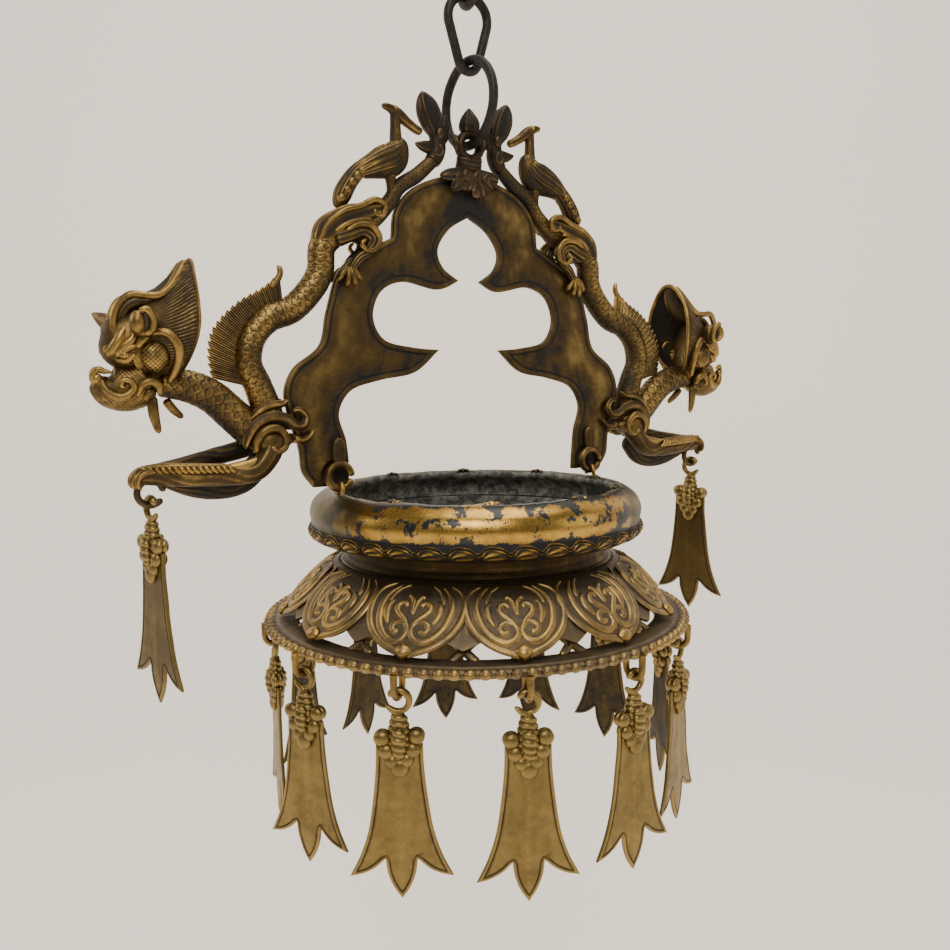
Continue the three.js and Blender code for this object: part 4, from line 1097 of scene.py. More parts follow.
def build_flange(sizes):
    """A flat ring with beads round its edge, and a lattice of crossed bars up to the skirt."""
    casting = Casting()
    inner = FLANGE_RADIUS - 27
    top, low = 0.0, FLANGE_LOW
    bead = sizes.bead_size / MM / 2
    rim = FLANGE_RADIUS - bead - 0.8
    corners = np.array([[inner, low + 0.3], [rim, low + 0.4], [rim + 1.2, low + 2], [rim + 1.2, top - 2],
                        [rim - 1.4, top - 0.5], [rim - 4, top - 1.6], [rim - 6, top - 0.1],
                        [inner + 1, top - 0.1], [inner, top - 0.8], [inner, low + 0.3]])
    run = run_of(corners)
    line = resampled(corners, run, np.linspace(0, run[-1], 54)[:-1])
    angle = round_angles(360)
    grid = round_axis(line[:, :1], angle, line[:, 1:])
    grid[..., 2] += 0.25 * lumps(grid, 22, 61)
    upper = (line[:, 1] > top - 0.6)[:, None]
    casting.add(grid, (0.24 + 0.06 * upper) * np.ones(len(angle)), ring=True)
    rng = np.random.default_rng(9)
    for k in range(sizes.beads):
        turn = TAU * k / sizes.beads
        size = bead * rng.uniform(1.12, 1.22)
        centre = (FLANGE_RADIUS - size) * out_and_beside(turn)[0]
        casting.ball(centre + (0, 0, low / 2 + 0.2), (size, size, bead * 0.95), rng.uniform(0.3, 0.5), 10, 7)
    for k in range(PETALS):
        turn = FIRST_TURN + TAU * k / PETALS
        out, beside = out_and_beside(turn)
        for hand in (-1, 1):
            ends = [out * (inner + 3) - hand * 9.5 * beside + (0, 0, -2.4), out * (inner - 1.5) + (0, 0, 5),
                    out * (inner - 4.6) + hand * 8.5 * beside + (0, 0, 12)]
            casting.bar([[*point, 1.7, 3.1] for point in ends], 0.34, side=beside, sides=12, step=1.6,
                        ends=(0.6, 0.6))
        casting.bar([[*(out * (inner - 0.4) + (0, 0, 3)), 1.8, 5.2],
                     [*(out * (inner - 2.6) + (0, 0, 8)), 1.6, 3.8]],
                    0.34, side=beside, sides=12, step=1.2, ends=(1.5, 1.5))
    casting.cast("beaded_flange", "dish", "aged_brass", lotus_brass(), ["flange"], BASE)


# Pendants
def leaf_outline():
    """Half outline of the pendant's leaf: flared sides, a curved side tip, a notch and the middle tip."""
    edge = [[15.3, -36], [15.8, -52], [18.2, -75], [21.5, -95], [27, -112], [34.2, -126.5]]
    notch = [[34.2, -126.5], [26, -124.8], [18, -121], [10.6, -114.5]]
    tongue = [[10.6, -114.5], [9.4, -124], [5.6, -134], [0, -142.4]]
    half = traced((edge, notch, tongue), 1.6)
    return np.concatenate([half, (half * (-1, 1))[-2::-1]])


def pendant_casting():
    """Hook, ribbed neck, cluster of lobes and leaf, hanging from the middle of the hook's top wire."""
    casting = Casting()
    loop = [[6.9 * math.cos(a), 0, -7.25 + 6.9 * math.sin(a), 2.3 + 0.35 * math.sin(a * 0.8)]
            for a in np.radians(np.linspace(158, -118, 16))]
    loop = loop + [[-1.6, 0, -14.4, 2.6], [0, 0, -18, 3.0]]
    casting.bar(loop, 0.4, sides=12, step=1.2, ends=(5, 1))
    casting.bar([[-8.6, 0, -9.6, 1.3], [-5.6, 0, -12.4, 2.0], [-1.4, 0, -15.0, 2.6], [1.4, 0, -16.4, 2.4]],
                0.45, sides=10, step=1.2)
    casting.bar([[0, 0, -14.5, 3.4, 4], [0, 0, -19, 4.2, 5.6], [0, 0, -26, 4.8, 7.0], [0, 0, -34, 5.0, 8.4],
                 [0, 0, -44, 4.2, 7.4], [0, 0, -54, 2.4, 4]], skin=waves(4.3, 1.1, low=0.15, high=0.6),
                sides=24, step=0.8, side=(1, 0, 0))
    casting.pair([[0, 3.4, -24, 2.4, 3.4], [0, 5.0, -30, 3.0, 4.8], [0, 5.0, -38, 2.8, 4.4],
                  [0, 3.6, -46, 1.8, 2.8]], skin=waves(4.8, 1.2, low=0.15, high=0.7), sides=16, step=0.8,
                 side=(1, 0, 0))
    for x, z, wide, tall in ((11.0, -31.2, 5.4, 5.0), (8.4, -40.2, 5.0, 5.0), (4.6, -46.8, 4.6, 4.8)):
        for hand in (-1, 1):
            casting.twins((hand * x, 1.9, z + 0.5 * hand), (wide * 1.08, 3.5, tall * 1.05), 0.4, 18, 12)
    casting.twins((0, 2.2, -51.6), (6.2, 3.4, 6.6), 0.42, 18, 12)
    return casting


def build_pendants(sizes):
    """Fourteen pendants: twelve round the flange and one under each dragon's paw."""
    outline = leaf_outline()
    leaf = Plate(outline, (0.5, 1.1, 1.9, 2.3, 2.7, 3.1, 4.2), 3.4)
    reach = (0, 0.5, 1.1, 1.9, 2.3, 2.7, 3.1, 4.2)
    half = np.interp(leaf.distance, reach, (0.8, 1.25, 1.4, 1.35, 0.95, 0.95, 1.25, 1.25))
    crease = np.exp(-((leaf.flat[:, 0] / 1.3) ** 2)) * ease(3, 6, leaf.distance)
    half = half + 0.4 * crease
    tone = np.interp(leaf.distance, reach, (0.42, 0.5, 0.5, 0.42, 0.08, 0.08, 0.45, 0.5)) + 0.1 * crease
    names = [f"pendant_{k + 1:02d}" for k in range(PETALS)] + ["paw_pendant_left", "paw_pendant_right"]
    for k, name in enumerate(names):
        joint = joint_of(name + "_swing")
        casting = pendant_casting()
        flat3 = np.stack([leaf.flat[:, 0], np.zeros(len(half)), leaf.flat[:, 1]], axis=1)
        bow = 0.35 * lumps(flat3, 60, 100 + k)
        uneven = 0.12 * lumps(flat3, 16, 200 + k)
        # Painted shade: the back faces are darker, their relief 0.6 lower on the flange pendants and 0.3
        # lower on the paw pendants.
        leaf.shell(casting, bow - half - uneven, bow + half, tone, tone - (0.6 if k < PETALS else 0.3))
        turn = math.atan2(joint["axis"][1], joint["axis"][0])
        casting.cast("leaf_" + name, name, "dark_brass", pendant_brass(), [name],
                     joint_place(name + "_swing"), turn, crease=60)


# Wire of the loops under the flange and the radius of their bend, in millimetres
LOOP_WIRE, LOOP_BEND = 2.4, 6.8


def build_eyes(sizes):
    """The loops under the flange that carry the pendants: a bent wire with two short legs."""
    for k in range(PETALS):
        node = f"pendant_eye_{k + 1:02d}"
        turn = FIRST_TURN + TAU * (k + 0.5) / PETALS
        low, high = node_box(node)
        centre = (low + high) / 2
        out, beside = out_and_beside(turn)
        wire, bend = LOOP_WIRE, LOOP_BEND
        middle = np.array([centre[0], centre[1], low[2] + wire + bend])
        arc = [[*(middle - out * bend * math.cos(a) - (0, 0, bend * math.sin(a))), wire, wire * 0.94]
               for a in np.linspace(0, math.pi, 13)]
        legs = [[*(middle + hand * out * bend + (0, 0, high[2] + 3 - middle[2])), wire * 1.1, wire * 1.1]
                for hand in (-1, 1)]
        casting = Casting()
        casting.bar([legs[0], *arc, legs[1]], 0.4, side=beside, sides=12, step=1.2, ends=(0, 0))
        casting.cast("loop_" + node, "dish", "aged_brass", aged_brass(), [node])


# Dragons: places are [distance from the middle, through the plate, up from the foot hooks]
TRUNK = ((31, 0, 244, 5), (43.8, 0, 232.8, 5.6), (58.5, 0, 223, 5.6), (68, 0, 210, 5.9), (84, 0, 196, 7.7),
         (104, 0, 189, 9.1), (120, 0, 176, 9.6), (122.5, 0, 158, 9.6), (129, 0, 146, 9.6),
         (145, 0, 130, 9.6), (162, 0, 123, 9.6), (174, 0, 110, 9.6), (177.5, 0, 92, 9.6),
         (171, 0, 76, 9.8), (165, 0, 56, 10.6), (164, 0, 40, 9.6), (160, 0, 30, 8))
NECK = ((160, 0, 34, 11), (166, 0, 40, 12), (178, 0, 46, 12), (190, 0, 57, 11.8), (203, 0, 69, 11.5),
        (217, 0, 76, 11), (238, 0, 80, 9.6))
HEAD = ((234, 0, 108, 24, 17), (243, 0, 106, 25, 18), (252, 0, 104.5, 23.5, 17), (259, 0, 103, 20.5, 15.4),
        (265, 0, 99.5, 14.5, 13), (269.5, 0, 97, 9, 9.6), (272, 0, 95.5, 4.6, 5))
MUZZLE = ((244, 0, 82, 14, 13), (254, 0, 77.5, 15.5, 13.4), (262, 0, 75.5, 15, 12.4),
          (269, 0, 75.5, 12, 10.6), (273.6, 0, 78, 8.8, 8.6), (275.9, 0, 81.3, 5.4, 6.4),
          (277.0, 0, 83, 2.6, 3.4))
HOOD = ((252, 0, 111, 19, 12), (246, 0, 112, 25, 16.5), (238, 0, 113, 29, 21), (230, 0, 116, 35.5, 25),
        (224, 0, 119, 40.2, 26.8), (221, 0, 120.2, 41.0, 27.2))
BROW = ((272, -7.5, 99), (266.6, -9, 106), (265.4, -9.8, 114), (264.8, -10.5, 122.3), (260.3, -12, 131.4),
        (254, -14, 135.6), (246.4, -15, 135.0), (238.1, -15, 135.5), (231, -14, 140.5),
        (224.5, -10.5, 149), (218.6, -5, 159.6))
NEAR_LEG = ((163, -7, 38, 9, 7), (168.7, -11.5, 27, 8), (178, -12.5, 18, 7.6), (193.5, -11.5, 15, 6.6),
            (214.7, -8, 15, 6.4), (237.7, -3, 16.5, 6.6), (252, 0, 17.5, 6, 7.5), (258, 0, 16, 3.4, 6))
FAR_LEG = ((166, 6, 38, 8), (178, 13.5, 32, 7), (202, 15, 26, 6.4), (220, 11, 22, 6.4), (240, 5, 19.5, 5.6),
           (255, 2, 18, 5))
MANE = ((168, 2, 25, 8, 6), (183, 3, 11, 9.5, 6.5), (198, 3, 7, 9.4, 6.5), (215, 3, 7.5, 8, 6),
        (231, 2, 11, 5.2, 5), (243, 1, 15, 2.4, 3))
FIN_FOOT = ((179, 0, 76), (180, 0, 92), (176, 0, 108), (164, 0, 122), (152, 0, 136))
FIN_EDGE = ((203.5, 0, 82), (205, 0, 98), (203, 0, 111), (197, 0, 121), (182, 0, 135), (165, 0, 145),
            (153, 0, 155))


def curl(middle, size, start, turns, thick, y=0.0, hand=1, flat=1.0):
    """Stations of a spiral in an upright plane, from its open end inwards; it thins towards the middle."""
    t = np.linspace(0, 1, 7 + int(abs(turns) * 10))
    radius = size * (1 - 0.8 * t)
    angle = math.radians(start) + hand * turns * TAU * t
    girth = thick * (1 - 0.45 * t)
    return np.column_stack([middle[0] + radius * np.cos(angle), y + 0 * t,
                            middle[1] + radius * np.sin(angle), girth, girth * flat])


def scaly(around, crown_tone=0.4):
    """Scales on a bar, a whole number round it and as long as wide, with free edges towards its start.

    They lie nearly flat; a cut line goes round each, and the belly side and the crown end are darker."""

    def skin(bar):
        width = bar.girth / around
        rows = np.concatenate([[0], np.cumsum(np.diff(bar.along) / width[1:])])
        height, groove = fish_scales((rows[-1] - rows)[:, None] * 1.1, bar.turn / TAU * around)
        tone = 0.46 + 0.12 * height - 0.56 * groove
        belly = ease(-0.05, -0.8, np.sin(bar.turn))
        crown = ease(196, 232, bar.path[:, 2])[:, None]
        lift = (0.22 * height - 0.4 * groove) * (width / 7.0)[:, None]
        return lift, tone * (1 - 0.7 * belly) - crown_tone * crown

    return skin


def hair(pitch, deep, slant=0.6, low=0.05, high=0.75):
    """Wavy locks along a bar: strands every pitch millimetres round it, that sway as they run."""

    def skin(bar):
        strands = np.round(bar.girth.mean() / pitch)
        sway = 0.35 * np.sin(bar.along / 6.5)[:, None]
        phase = strands * (bar.turn + slant * bar.along[:, None] / 30) + TAU * sway
        crest = 1 - np.abs(np.sin(phase / 2)) ** 1.4
        return deep * (crest - 0.5), low + (high - low) * crest

    return skin


def waves(pitch, deep, twist=0.0, count=1, low=0.2, high=0.7):
    """Ridges across a bar every pitch millimetres; twist makes them slant round it."""

    def skin(bar):
        phase = TAU * (bar.along[:, None] / pitch) + count * bar.turn
        phase = phase + twist * np.abs(np.sin(bar.turn / 2)) * TAU
        crest = np.abs(np.cos(phase / 2))
        return deep * (crest - 0.6), low + (high - low) * crest

    return skin


def flutes(count, deep, low=0.15, high=0.75):
    """Ridges along a bar, a whole number round it."""

    def skin(bar):
        crest = 0.5 + 0.5 * np.cos(count * bar.turn)
        crest = np.broadcast_to(crest, (len(bar.along), len(bar.turn)))
        return deep * (crest - 0.5), low + (high - low) * crest

    return skin


def dragon_hood(casting):
    """A cup behind the head, open to the plate: fine ribs run from the head to a thick rim.

    Each row is an ellipse; the rim leans forward below and is drawn up to a broad tip on top."""
    outer = spline(HOOD, 36)
    inner = spline([[u, y, h, deep - 2.6, flat - 2.6] for u, y, h, deep, flat in HOOD[1:]], 24)[::-1]
    rim = outer[-1] + np.array([[-0.8, 0, 0, 1.0, 1.0], [-1.9, 0, 0, 0.6, 0.6], [-2.6, 0, 0, -0.4, -0.4],
                                [-2.4, 0, 0, -1.6, -1.6], [-1.0, 0, 0, -2.6, -2.6]])
    rows = np.concatenate([outer, rim, inner])
    turn = round_angles(440)
    u, h, deep, flat = (rows[:, k, None] for k in (0, 2, 3, 4))
    opened = ease(244, 221, u)
    top, low = np.clip(np.sin(turn), 0, 1), np.clip(-np.sin(turn), 0, 1)
    shift = opened * (-4.4 * (1 - top**3) ** 0.5 * (1 - low**2) - 5.0 * top**6 + 7.5 * low**1.5)
    narrow = 1 - 0.12 * opened * top**2 - 0.22 * opened * low**1.2
    tall = 1 - 0.06 * opened * low
    grid = np.stack(np.broadcast_arrays(u + shift, flat * narrow * np.cos(turn),
                                        h + deep * tall * np.sin(turn)), axis=-1)
    place_on = np.arange(len(rows))[:, None]
    ribs = 1 - np.abs(np.sin(48 * turn + 0.3 * np.sin(place_on / 5.0)))
    combed = ease(12, 26, place_on) * (place_on < 35)
    grid = raised(grid, 0.5 * (ribs - 0.4) * combed)
    on_rim = bump(place_on, 37.5, 5.0)
    tone = np.where(place_on < 35, 0.2 + (0.32 * ribs - 0.06) * combed, 0.0 * ribs)
    casting.add(grid, np.maximum(tone, (0.52 - 0.25 * low) * on_rim))


NET_PITCH = 2.7


def skin_net(grid):
    """The net of the dragons' skin over points, seen from the side."""
    return diamond_net(grid[..., 0] / NET_PITCH, grid[..., 2] / NET_PITCH)


def face_net(bar):
    """A fine net on the cheeks and the chin; the brow and the snout are smooth."""
    u, h = bar.grid[..., 0], bar.grid[..., 2]
    net = skin_net(bar.grid)
    shown = np.clip(ease(268, 262, u) * ease(102, 97, h) + ease(72, 68, h), 0, 1)
    return 0.45 * shown * (net - 0.6), 0.36 + shown * (0.36 * net - 0.22)


def dragon_head(casting):
    """Blunt snout with curled lips, netted cheeks in a raised ring, lobed brows, ears and beard."""
    casting.bar(HEAD, skin=face_net, sides=168, step=0.65, ends=(5, 3))
    casting.bar(MUZZLE, skin=face_net, sides=132, step=0.65, ends=(4, 2.5))
    casting.ball((271.4, 0, 100), (2.6, 4.4, 3.2), 0.4, 20, 12)
    girth = (2.2, 2.6, 2.5, 2.4, 2.6, 2.6, 2.5, 2.5, 2.7, 3.2, 2.6)
    casting.pair([(*place_at, size) for place_at, size in zip(BROW, girth)], 0.5, sides=14, step=1.0)
    casting.bar([(262, 0, 114, 5, 9), (257, 0, 126, 4, 10.5), (248, 0, 131, 4, 12), (236, 0, 132, 4, 11.5),
                 (228, 0, 139, 4.5, 10), (221, 0, 150, 4.2, 7.5), (216, 0, 159, 3, 5)],
                skin=hair(3.2, 0.3, low=0.0, high=0.16), sides=44, step=0.9, side=(0, 1, 0))
    for lobe, tone in ((((257.5, 9, 117, 1.8), (260.4, 12, 112, 3.0), (263.8, 11.8, 105, 3.9),
                         (267.8, 9.2, 98.6, 3.3), (268.8, 8.6, 95.6, 1.8)), 0.55),
                       (((256.5, 13.5, 114, 1.3), (254.6, 15.4, 108.8, 2.6), (260.4, 14.8, 102.6, 2.9),
                         (265.6, 12.4, 96.8, 1.8)), 0.5),
                       (((252.6, 16.8, 104, 1.2), (259, 15.6, 100.7, 1.8), (265.6, 12.6, 96, 1.2)), 0.45),
                       (((244.5, 18.2, 110.5, 1.6), (248.8, 17.8, 107.4, 2.8), (253.4, 17.0, 101.6, 2.0)),
                        0.5),
                       (((265.8, 12, 94.4, 1.0), (259.6, 14.8, 93.2, 1.6), (253.8, 16.6, 98.2, 1.2)), 0.5)):
        casting.pair(lobe, tone, sides=16, step=0.9)
    casting.twins((259.4, 14.2, 97.1), (4.6, 2.4, 2.8), 0.35, 20, 12)
    casting.twins((260.2, 16.2, 97.3), (1.9, 0.9, 1.8), 0.55, 14, 8)
    casting.twins((241.7, 14.5, 97.0), (9.4, 8.2, 10.2), lambda grid: 0.1 + 0.42 * skin_net(grid),
                  96, 52, lambda grid: 0.5 * skin_net(grid))
    casting.twins((276.6, 5.4, 82.3), (3.5, 3.4, 3.5), 0.5, 20, 14)
    casting.pair([(246.4, -17, 109.4, 1.4), (241, -20, 111.6, 2.4), (235, -22.2, 111, 3.0),
                  (229.6, -23.4, 105, 3.4), (228, -21.6, 96, 3.2), (230, -17, 86.6, 2.8),
                  (234, -12, 79.4, 2.0)], 0.45, sides=16, step=1.0)
    casting.pair([(268, -10, 86, 1.0), (272.4, -7.6, 87.2, 1.7), (275.6, -6.6, 88.4, 2.0),
                  (277.8, -5.6, 86.4, 2.0), (278.2, -5, 82.3, 1.9), (277.4, -5.2, 78.4, 1.6)], 0.45,
                 sides=14, step=0.8)
    casting.pair([(274.6, -8.2, 82, 1.6), (272.2, -10.2, 75.6, 2.5), (266.5, -11.8, 71, 2.8),
                  (260.5, -13.4, 71.2, 2.9), (256.2, -14, 75.6, 2.7), (257.3, -14, 80.2, 2.2),
                  (261.8, -13.6, 81, 1.9), (263, -13.4, 77.4, 1.6), (260.6, -13.4, 76, 1.2)], 0.46,
                 sides=16, step=0.8)
    casting.pair([(253.6, -12.6, 70.6, 1.6), (250.5, -13.8, 77.6, 2.8), (245.6, -14.6, 80.2, 3.2),
                  (240.6, -14, 77.4, 2.9), (239.4, -12.4, 71.6, 2.2)], 0.44, sides=16, step=0.8)
    casting.pair([(249, -10.4, 68, 2.6), (245.4, -11.6, 73.4, 3.2), (243, -10, 70, 2.4)], 0.1, sides=14,
                 step=0.8)
    casting.bar([(246, -11, 113, 8, 8), (248.4, -17, 116, 8.6, 8.6), (249.4, -24, 117.2, 8.2, 7.6),
                 (249.8, -28, 117.6, 6, 5.4)], 0.3, sides=40, step=1.0, side=(1, 0, 0), ends=(3, 5))
    casting.ball((253.2, -25.6, 117.4), (5.2, 6.4, 7.4), 0.46, 32, 20)
    casting.bar([(253, -30, 124.4, 1.6), (248.6, -30.4, 125.2, 2.2), (244.8, -29, 120, 2.5),
                 (245.4, -27.4, 113, 2.7), (249.4, -26.6, 109.6, 2.2)], 0.45, sides=14, step=0.8)
    casting.ball((248.8, -27.6, 118.4), (2.7, 4.4, 6.6), -0.2, 20, 14)
    casting.bar([(255, 8, 113, 8, 8), (262, 14, 117, 7.4, 7), (267.4, 20.5, 121, 5.2, 5),
                 (271, 25.6, 124, 2.9, 2.8), (273.4, 29, 126, 0.9, 0.9)], 0.42, sides=28, step=0.9,
                side=(1, 0, 0), ends=(3, 1))
    for top, tip, wide in (((243.4, -4, 70), (240, -5, 45.6), 3.5), ((234, 2, 68), (222, 6, 55), 3.0)):
        middle = [(a + b) / 2 for a, b in zip(top, tip)]
        casting.bar([(*top, wide, 3.0), (middle[0] + 1.0, *middle[1:], wide, 2.8), (*tip, 2.0, 1.6)], 0.35,
                    sides=24, step=0.9, ends=(2, 3))


def dragon_limbs(casting):
    """Forelegs that hold the paw ring, a shoulder with a swirl, haunch and hind legs with claws."""
    casting.bar(NEAR_LEG, skin=hair(5.2, 0.3, 0.8, 0.16, 0.28), sides=80, step=0.85, ends=(4, 3))
    casting.bar(FAR_LEG, skin=hair(5.2, 0.3, 0.8, 0.04, 0.22), sides=64, step=0.9, ends=(4, 3))
    # Painted shade: the mane under the forelegs is kept near black, its relief running only from -0.1 to
    # 0.05, as the shade beneath them.
    casting.bar(MANE, skin=hair(3.6, 0.4, 0.3, -0.1, 0.05), sides=72, step=1.0, ends=(5, 5))
    for k in range(15):
        t = k / 14
        u, y = 196 + 54 * t, -13.5 + 12.0 * t**1.5
        casting.bar([(u - 4.4, y - 2.4, 17.4 + 1.6 * t, 0.8), (u - 1.4, y - 4.4, 18.6 + 1.6 * t, 1.3),
                     (u + 1.4, y - 3.6, 21.4 + 1.4 * t, 1.5), (u + 1.2, y - 1.0, 23.0 + t, 1.2)], 0.38,
                    sides=8, step=0.9, ends=(1, 1))
    casting.bar([(173, -12, 26, 3.5), (182, -13.6, 22.4, 4.0), (192, -13.4, 21.4, 3.2),
                 (199, -12.4, 21.6, 1.6)], 0.7, sides=20, step=1.0)
    casting.bar([(196, -11.5, 21.8, 1.6), (215, -8.6, 22.6, 2.0), (235, -4, 23.2, 2.2), (251, -1, 23, 1.8)],
                0.38, sides=12, step=1.0)
    for y, out in ((-6.4, 255), (-2.2, 257.8), (2.2, 258), (6.4, 255.2)):
        casting.bar([(out - 14, y * 0.7, 19, 2.4), (out - 5, y, 19.8, 2.8), (out - 0.5, y, 16.4, 2.6),
                     (out + 0.2, y, 11.8, 1.9), (out - 2, y, 8.8, 0.9)], skin=flutes(4, 0.2, 0.22, 0.42),
                    sides=20, step=0.9)
    casting.pair([(160, -5, 38, 10, 6), (158, -9, 37, 9.6, 5), (157, -12.4, 36, 7, 3)], 0.25, sides=28,
                 step=1.2, side=(0, 0, 1))
    casting.pair([(184, 9, 33, 2.0, 2.0), (181, 10.5, 42, 4.0, 3.0), (175, 11.6, 50, 4.6, 3.2),
                  (166, 12.4, 54, 4.6, 3.2), (155.6, 12, 52.6, 4.2, 3.0),
                  (147.4, 10.6, 47.4, 3.4, 2.8), (141.4, 9, 48, 3.0, 2.6),
                  (139.2, 7.6, 53.4, 2.8, 2.4), (143.4, 7, 58.4, 2.4, 2.2),
                  (149.6, 7, 58, 1.2, 1.4)], skin=flutes(4, 0.5, 0.12, 0.42), sides=36, step=0.9)
    casting.pair([(181, 9, 53, 1.4, 1.8), (174, 10.6, 58.6, 3.0, 2.8), (166, 10.6, 62.4, 3.2, 2.8),
                  (157, 9.4, 63.4, 2.4, 2.4), (151.6, 8.6, 66.6, 1.0, 1.2)],
                 skin=flutes(4, 0.4, 0.12, 0.42), sides=30, step=1.0)
    casting.twins((165.4, 10.6, 36.6), (10.2, 6.6, 9.8), 0.32, 40, 24)
    casting.pair([(177, 11, 29, 2.4), (176.6, 13.6, 38, 3.0), (171, 15.6, 45.4, 3.2),
                  (162.6, 16, 46.4, 3.0), (156.8, 14.6, 40.6, 2.8), (157.6, 14.4, 33, 2.6),
                  (163.6, 16, 30.4, 2.2), (167.8, 17, 34.4, 1.6)], 0.36, sides=16, step=1.0)
    casting.pair([(149, 8, 40, 3.2), (143, 7, 37, 3.0), (137, 6.2, 39, 2.2),
                  (133, 5.8, 44, 1.0)], skin=flutes(4, 0.3, 0.1, 0.4), sides=20, step=1)
    casting.pair([(124, 4, 176, 5, 4), (116, 6.5, 187, 9.4, 5), (103, 8, 195.4, 9.4, 5),
                  (90, 8.2, 200, 7.0, 4.6), (80, 8, 203.4, 5.6, 4), (74, 7.4, 204, 2.4, 2.4)],
                 skin=flutes(7, 0.6, 0.08, 0.42), sides=56, step=0.9)
    casting.pair([(119, 10, 192, 1.2), (108, 12.4, 199.6, 2.0), (95, 12.4, 204, 2.2),
                  (83, 11.6, 209.5, 2.4), (75.5, 10.6, 206.5, 2.4), (77, 10.6, 199.6, 2.2),
                  (83, 11, 200, 1.8), (83.4, 11, 204.2, 1.3)], 0.4, sides=12, step=0.9)
    casting.pair([(116, 9.6, 184, 1.2), (106, 12.2, 190.6, 2.0), (95, 12, 194, 2.2),
                  (86, 11, 196, 1.6)], 0.36, sides=12, step=0.9)
    casting.pair([(113, 6, 179, 5.6), (103, 8, 184, 5.6), (93, 9, 187, 5.4),
                  (85.4, 9, 182, 5.0), (87.6, 8.8, 174, 4.2), (95, 8, 168, 3.6),
                  (102, 7, 159, 3.0)], skin=hair(3.2, 0.4, 0.5, 0.0, 0.35), sides=52, step=0.9)
    casting.pair([(107, 12.5, 186, 1.4), (97, 14, 190.5, 2.2), (87, 13.6, 190, 2.6),
                  (81, 12.4, 182.6, 2.6), (83.4, 12, 175, 2.4), (90.4, 12.2, 173, 2.0),
                  (94.4, 12.2, 177.6, 1.6), (91, 12.4, 181.6, 1.2)], 0.38, sides=12, step=0.9)
    for lean, long, out in ((-8, 9, 0.4), (-3.4, 13, 1.6), (2.2, 14, 1.8), (7.4, 9.5, 0.6)):
        casting.pair([(103, 7.2, 162, 2.2), (103 + lean * 0.6, 7.8 + out, 161 - long * 0.4, 2.2),
                      (103 + lean, 7 + out, 161 - long * 0.85, 2.0),
                      (103 + lean * 1.1, 5.6, 160 - long, 0.8)], 0.4, sides=12, step=0.8)


def dragon_fin(casting):
    """A crest along the back: fine ribs fan from its foot to teeth on its edge; its top ends in a knob."""
    rows, columns, teeth = 420, 14, 19
    foot, edge = spline(FIN_FOOT, rows), spline(FIN_EDGE, rows)
    share = np.linspace(0, 1, columns)
    fan = np.linspace(0, 1, rows)[:, None] * teeth
    tooth = (fan % 1.0) ** 0.8
    reach = share * (1 + 0.1 * (tooth - 0.7) * share**2)
    flat = foot[:, None] + (edge - foot)[:, None] * reach[..., None]
    ribs = 1 - np.abs(np.sin(math.pi * fan * 3)) ** 1.3
    half = 2.6 - 1.7 * share + 0.55 * (ribs - 0.5) * ease(0, 0.2, share)
    half[:, -1] *= 0.35
    lift = np.array((0, 1.0, 0))
    front, back = flat - half[..., None] * lift, flat + half[..., None] * lift
    tone = np.clip(0.14 + 0.14 * share + 0.3 * ribs * ease(0, 0.3, share), 0, 1)
    casting.add(between(front, back), between(tone, tone), sheet=True)
    casting.bar([(160, 0, 145, 2.0), (155, 0, 149.6, 2.4), (152.4, 0, 154.6, 2.3), (152.6, 0, 158.6, 2.0),
                 (154.6, 0, 160.4, 1.4)], 0.36, sides=12, step=0.9)


def build_dragons(sizes):
    """A scaled body along each edge of the arch, with hood, head, forelegs, hind legs and crest."""
    around = max(6, round(TAU * 9.6 / (sizes.scale_length / MM)))
    for hand, side in SIDES:
        body, front, limbs = Casting(), Casting(), Casting()
        body.bar(TRUNK, skin=scaly(around), sides=12 * around, step=0.6, ends=(0, 5))
        dragon_fin(body)
        front.bar(NECK, skin=scaly(around), sides=13 * around, step=0.6, ends=(5, 2))
        dragon_hood(front)
        dragon_head(front)
        dragon_limbs(limbs)
        for casting, name, stands_for in ((body, "scaled_body_", ["dragon_" + side]),
                                          (front, "dragon_front_", ()), (limbs, "dragon_limbs_", ())):
            casting.cast(name + side, "arch", "aged_brass", aged_brass(), stands_for, ARCH,
                         across=side_share(hand))


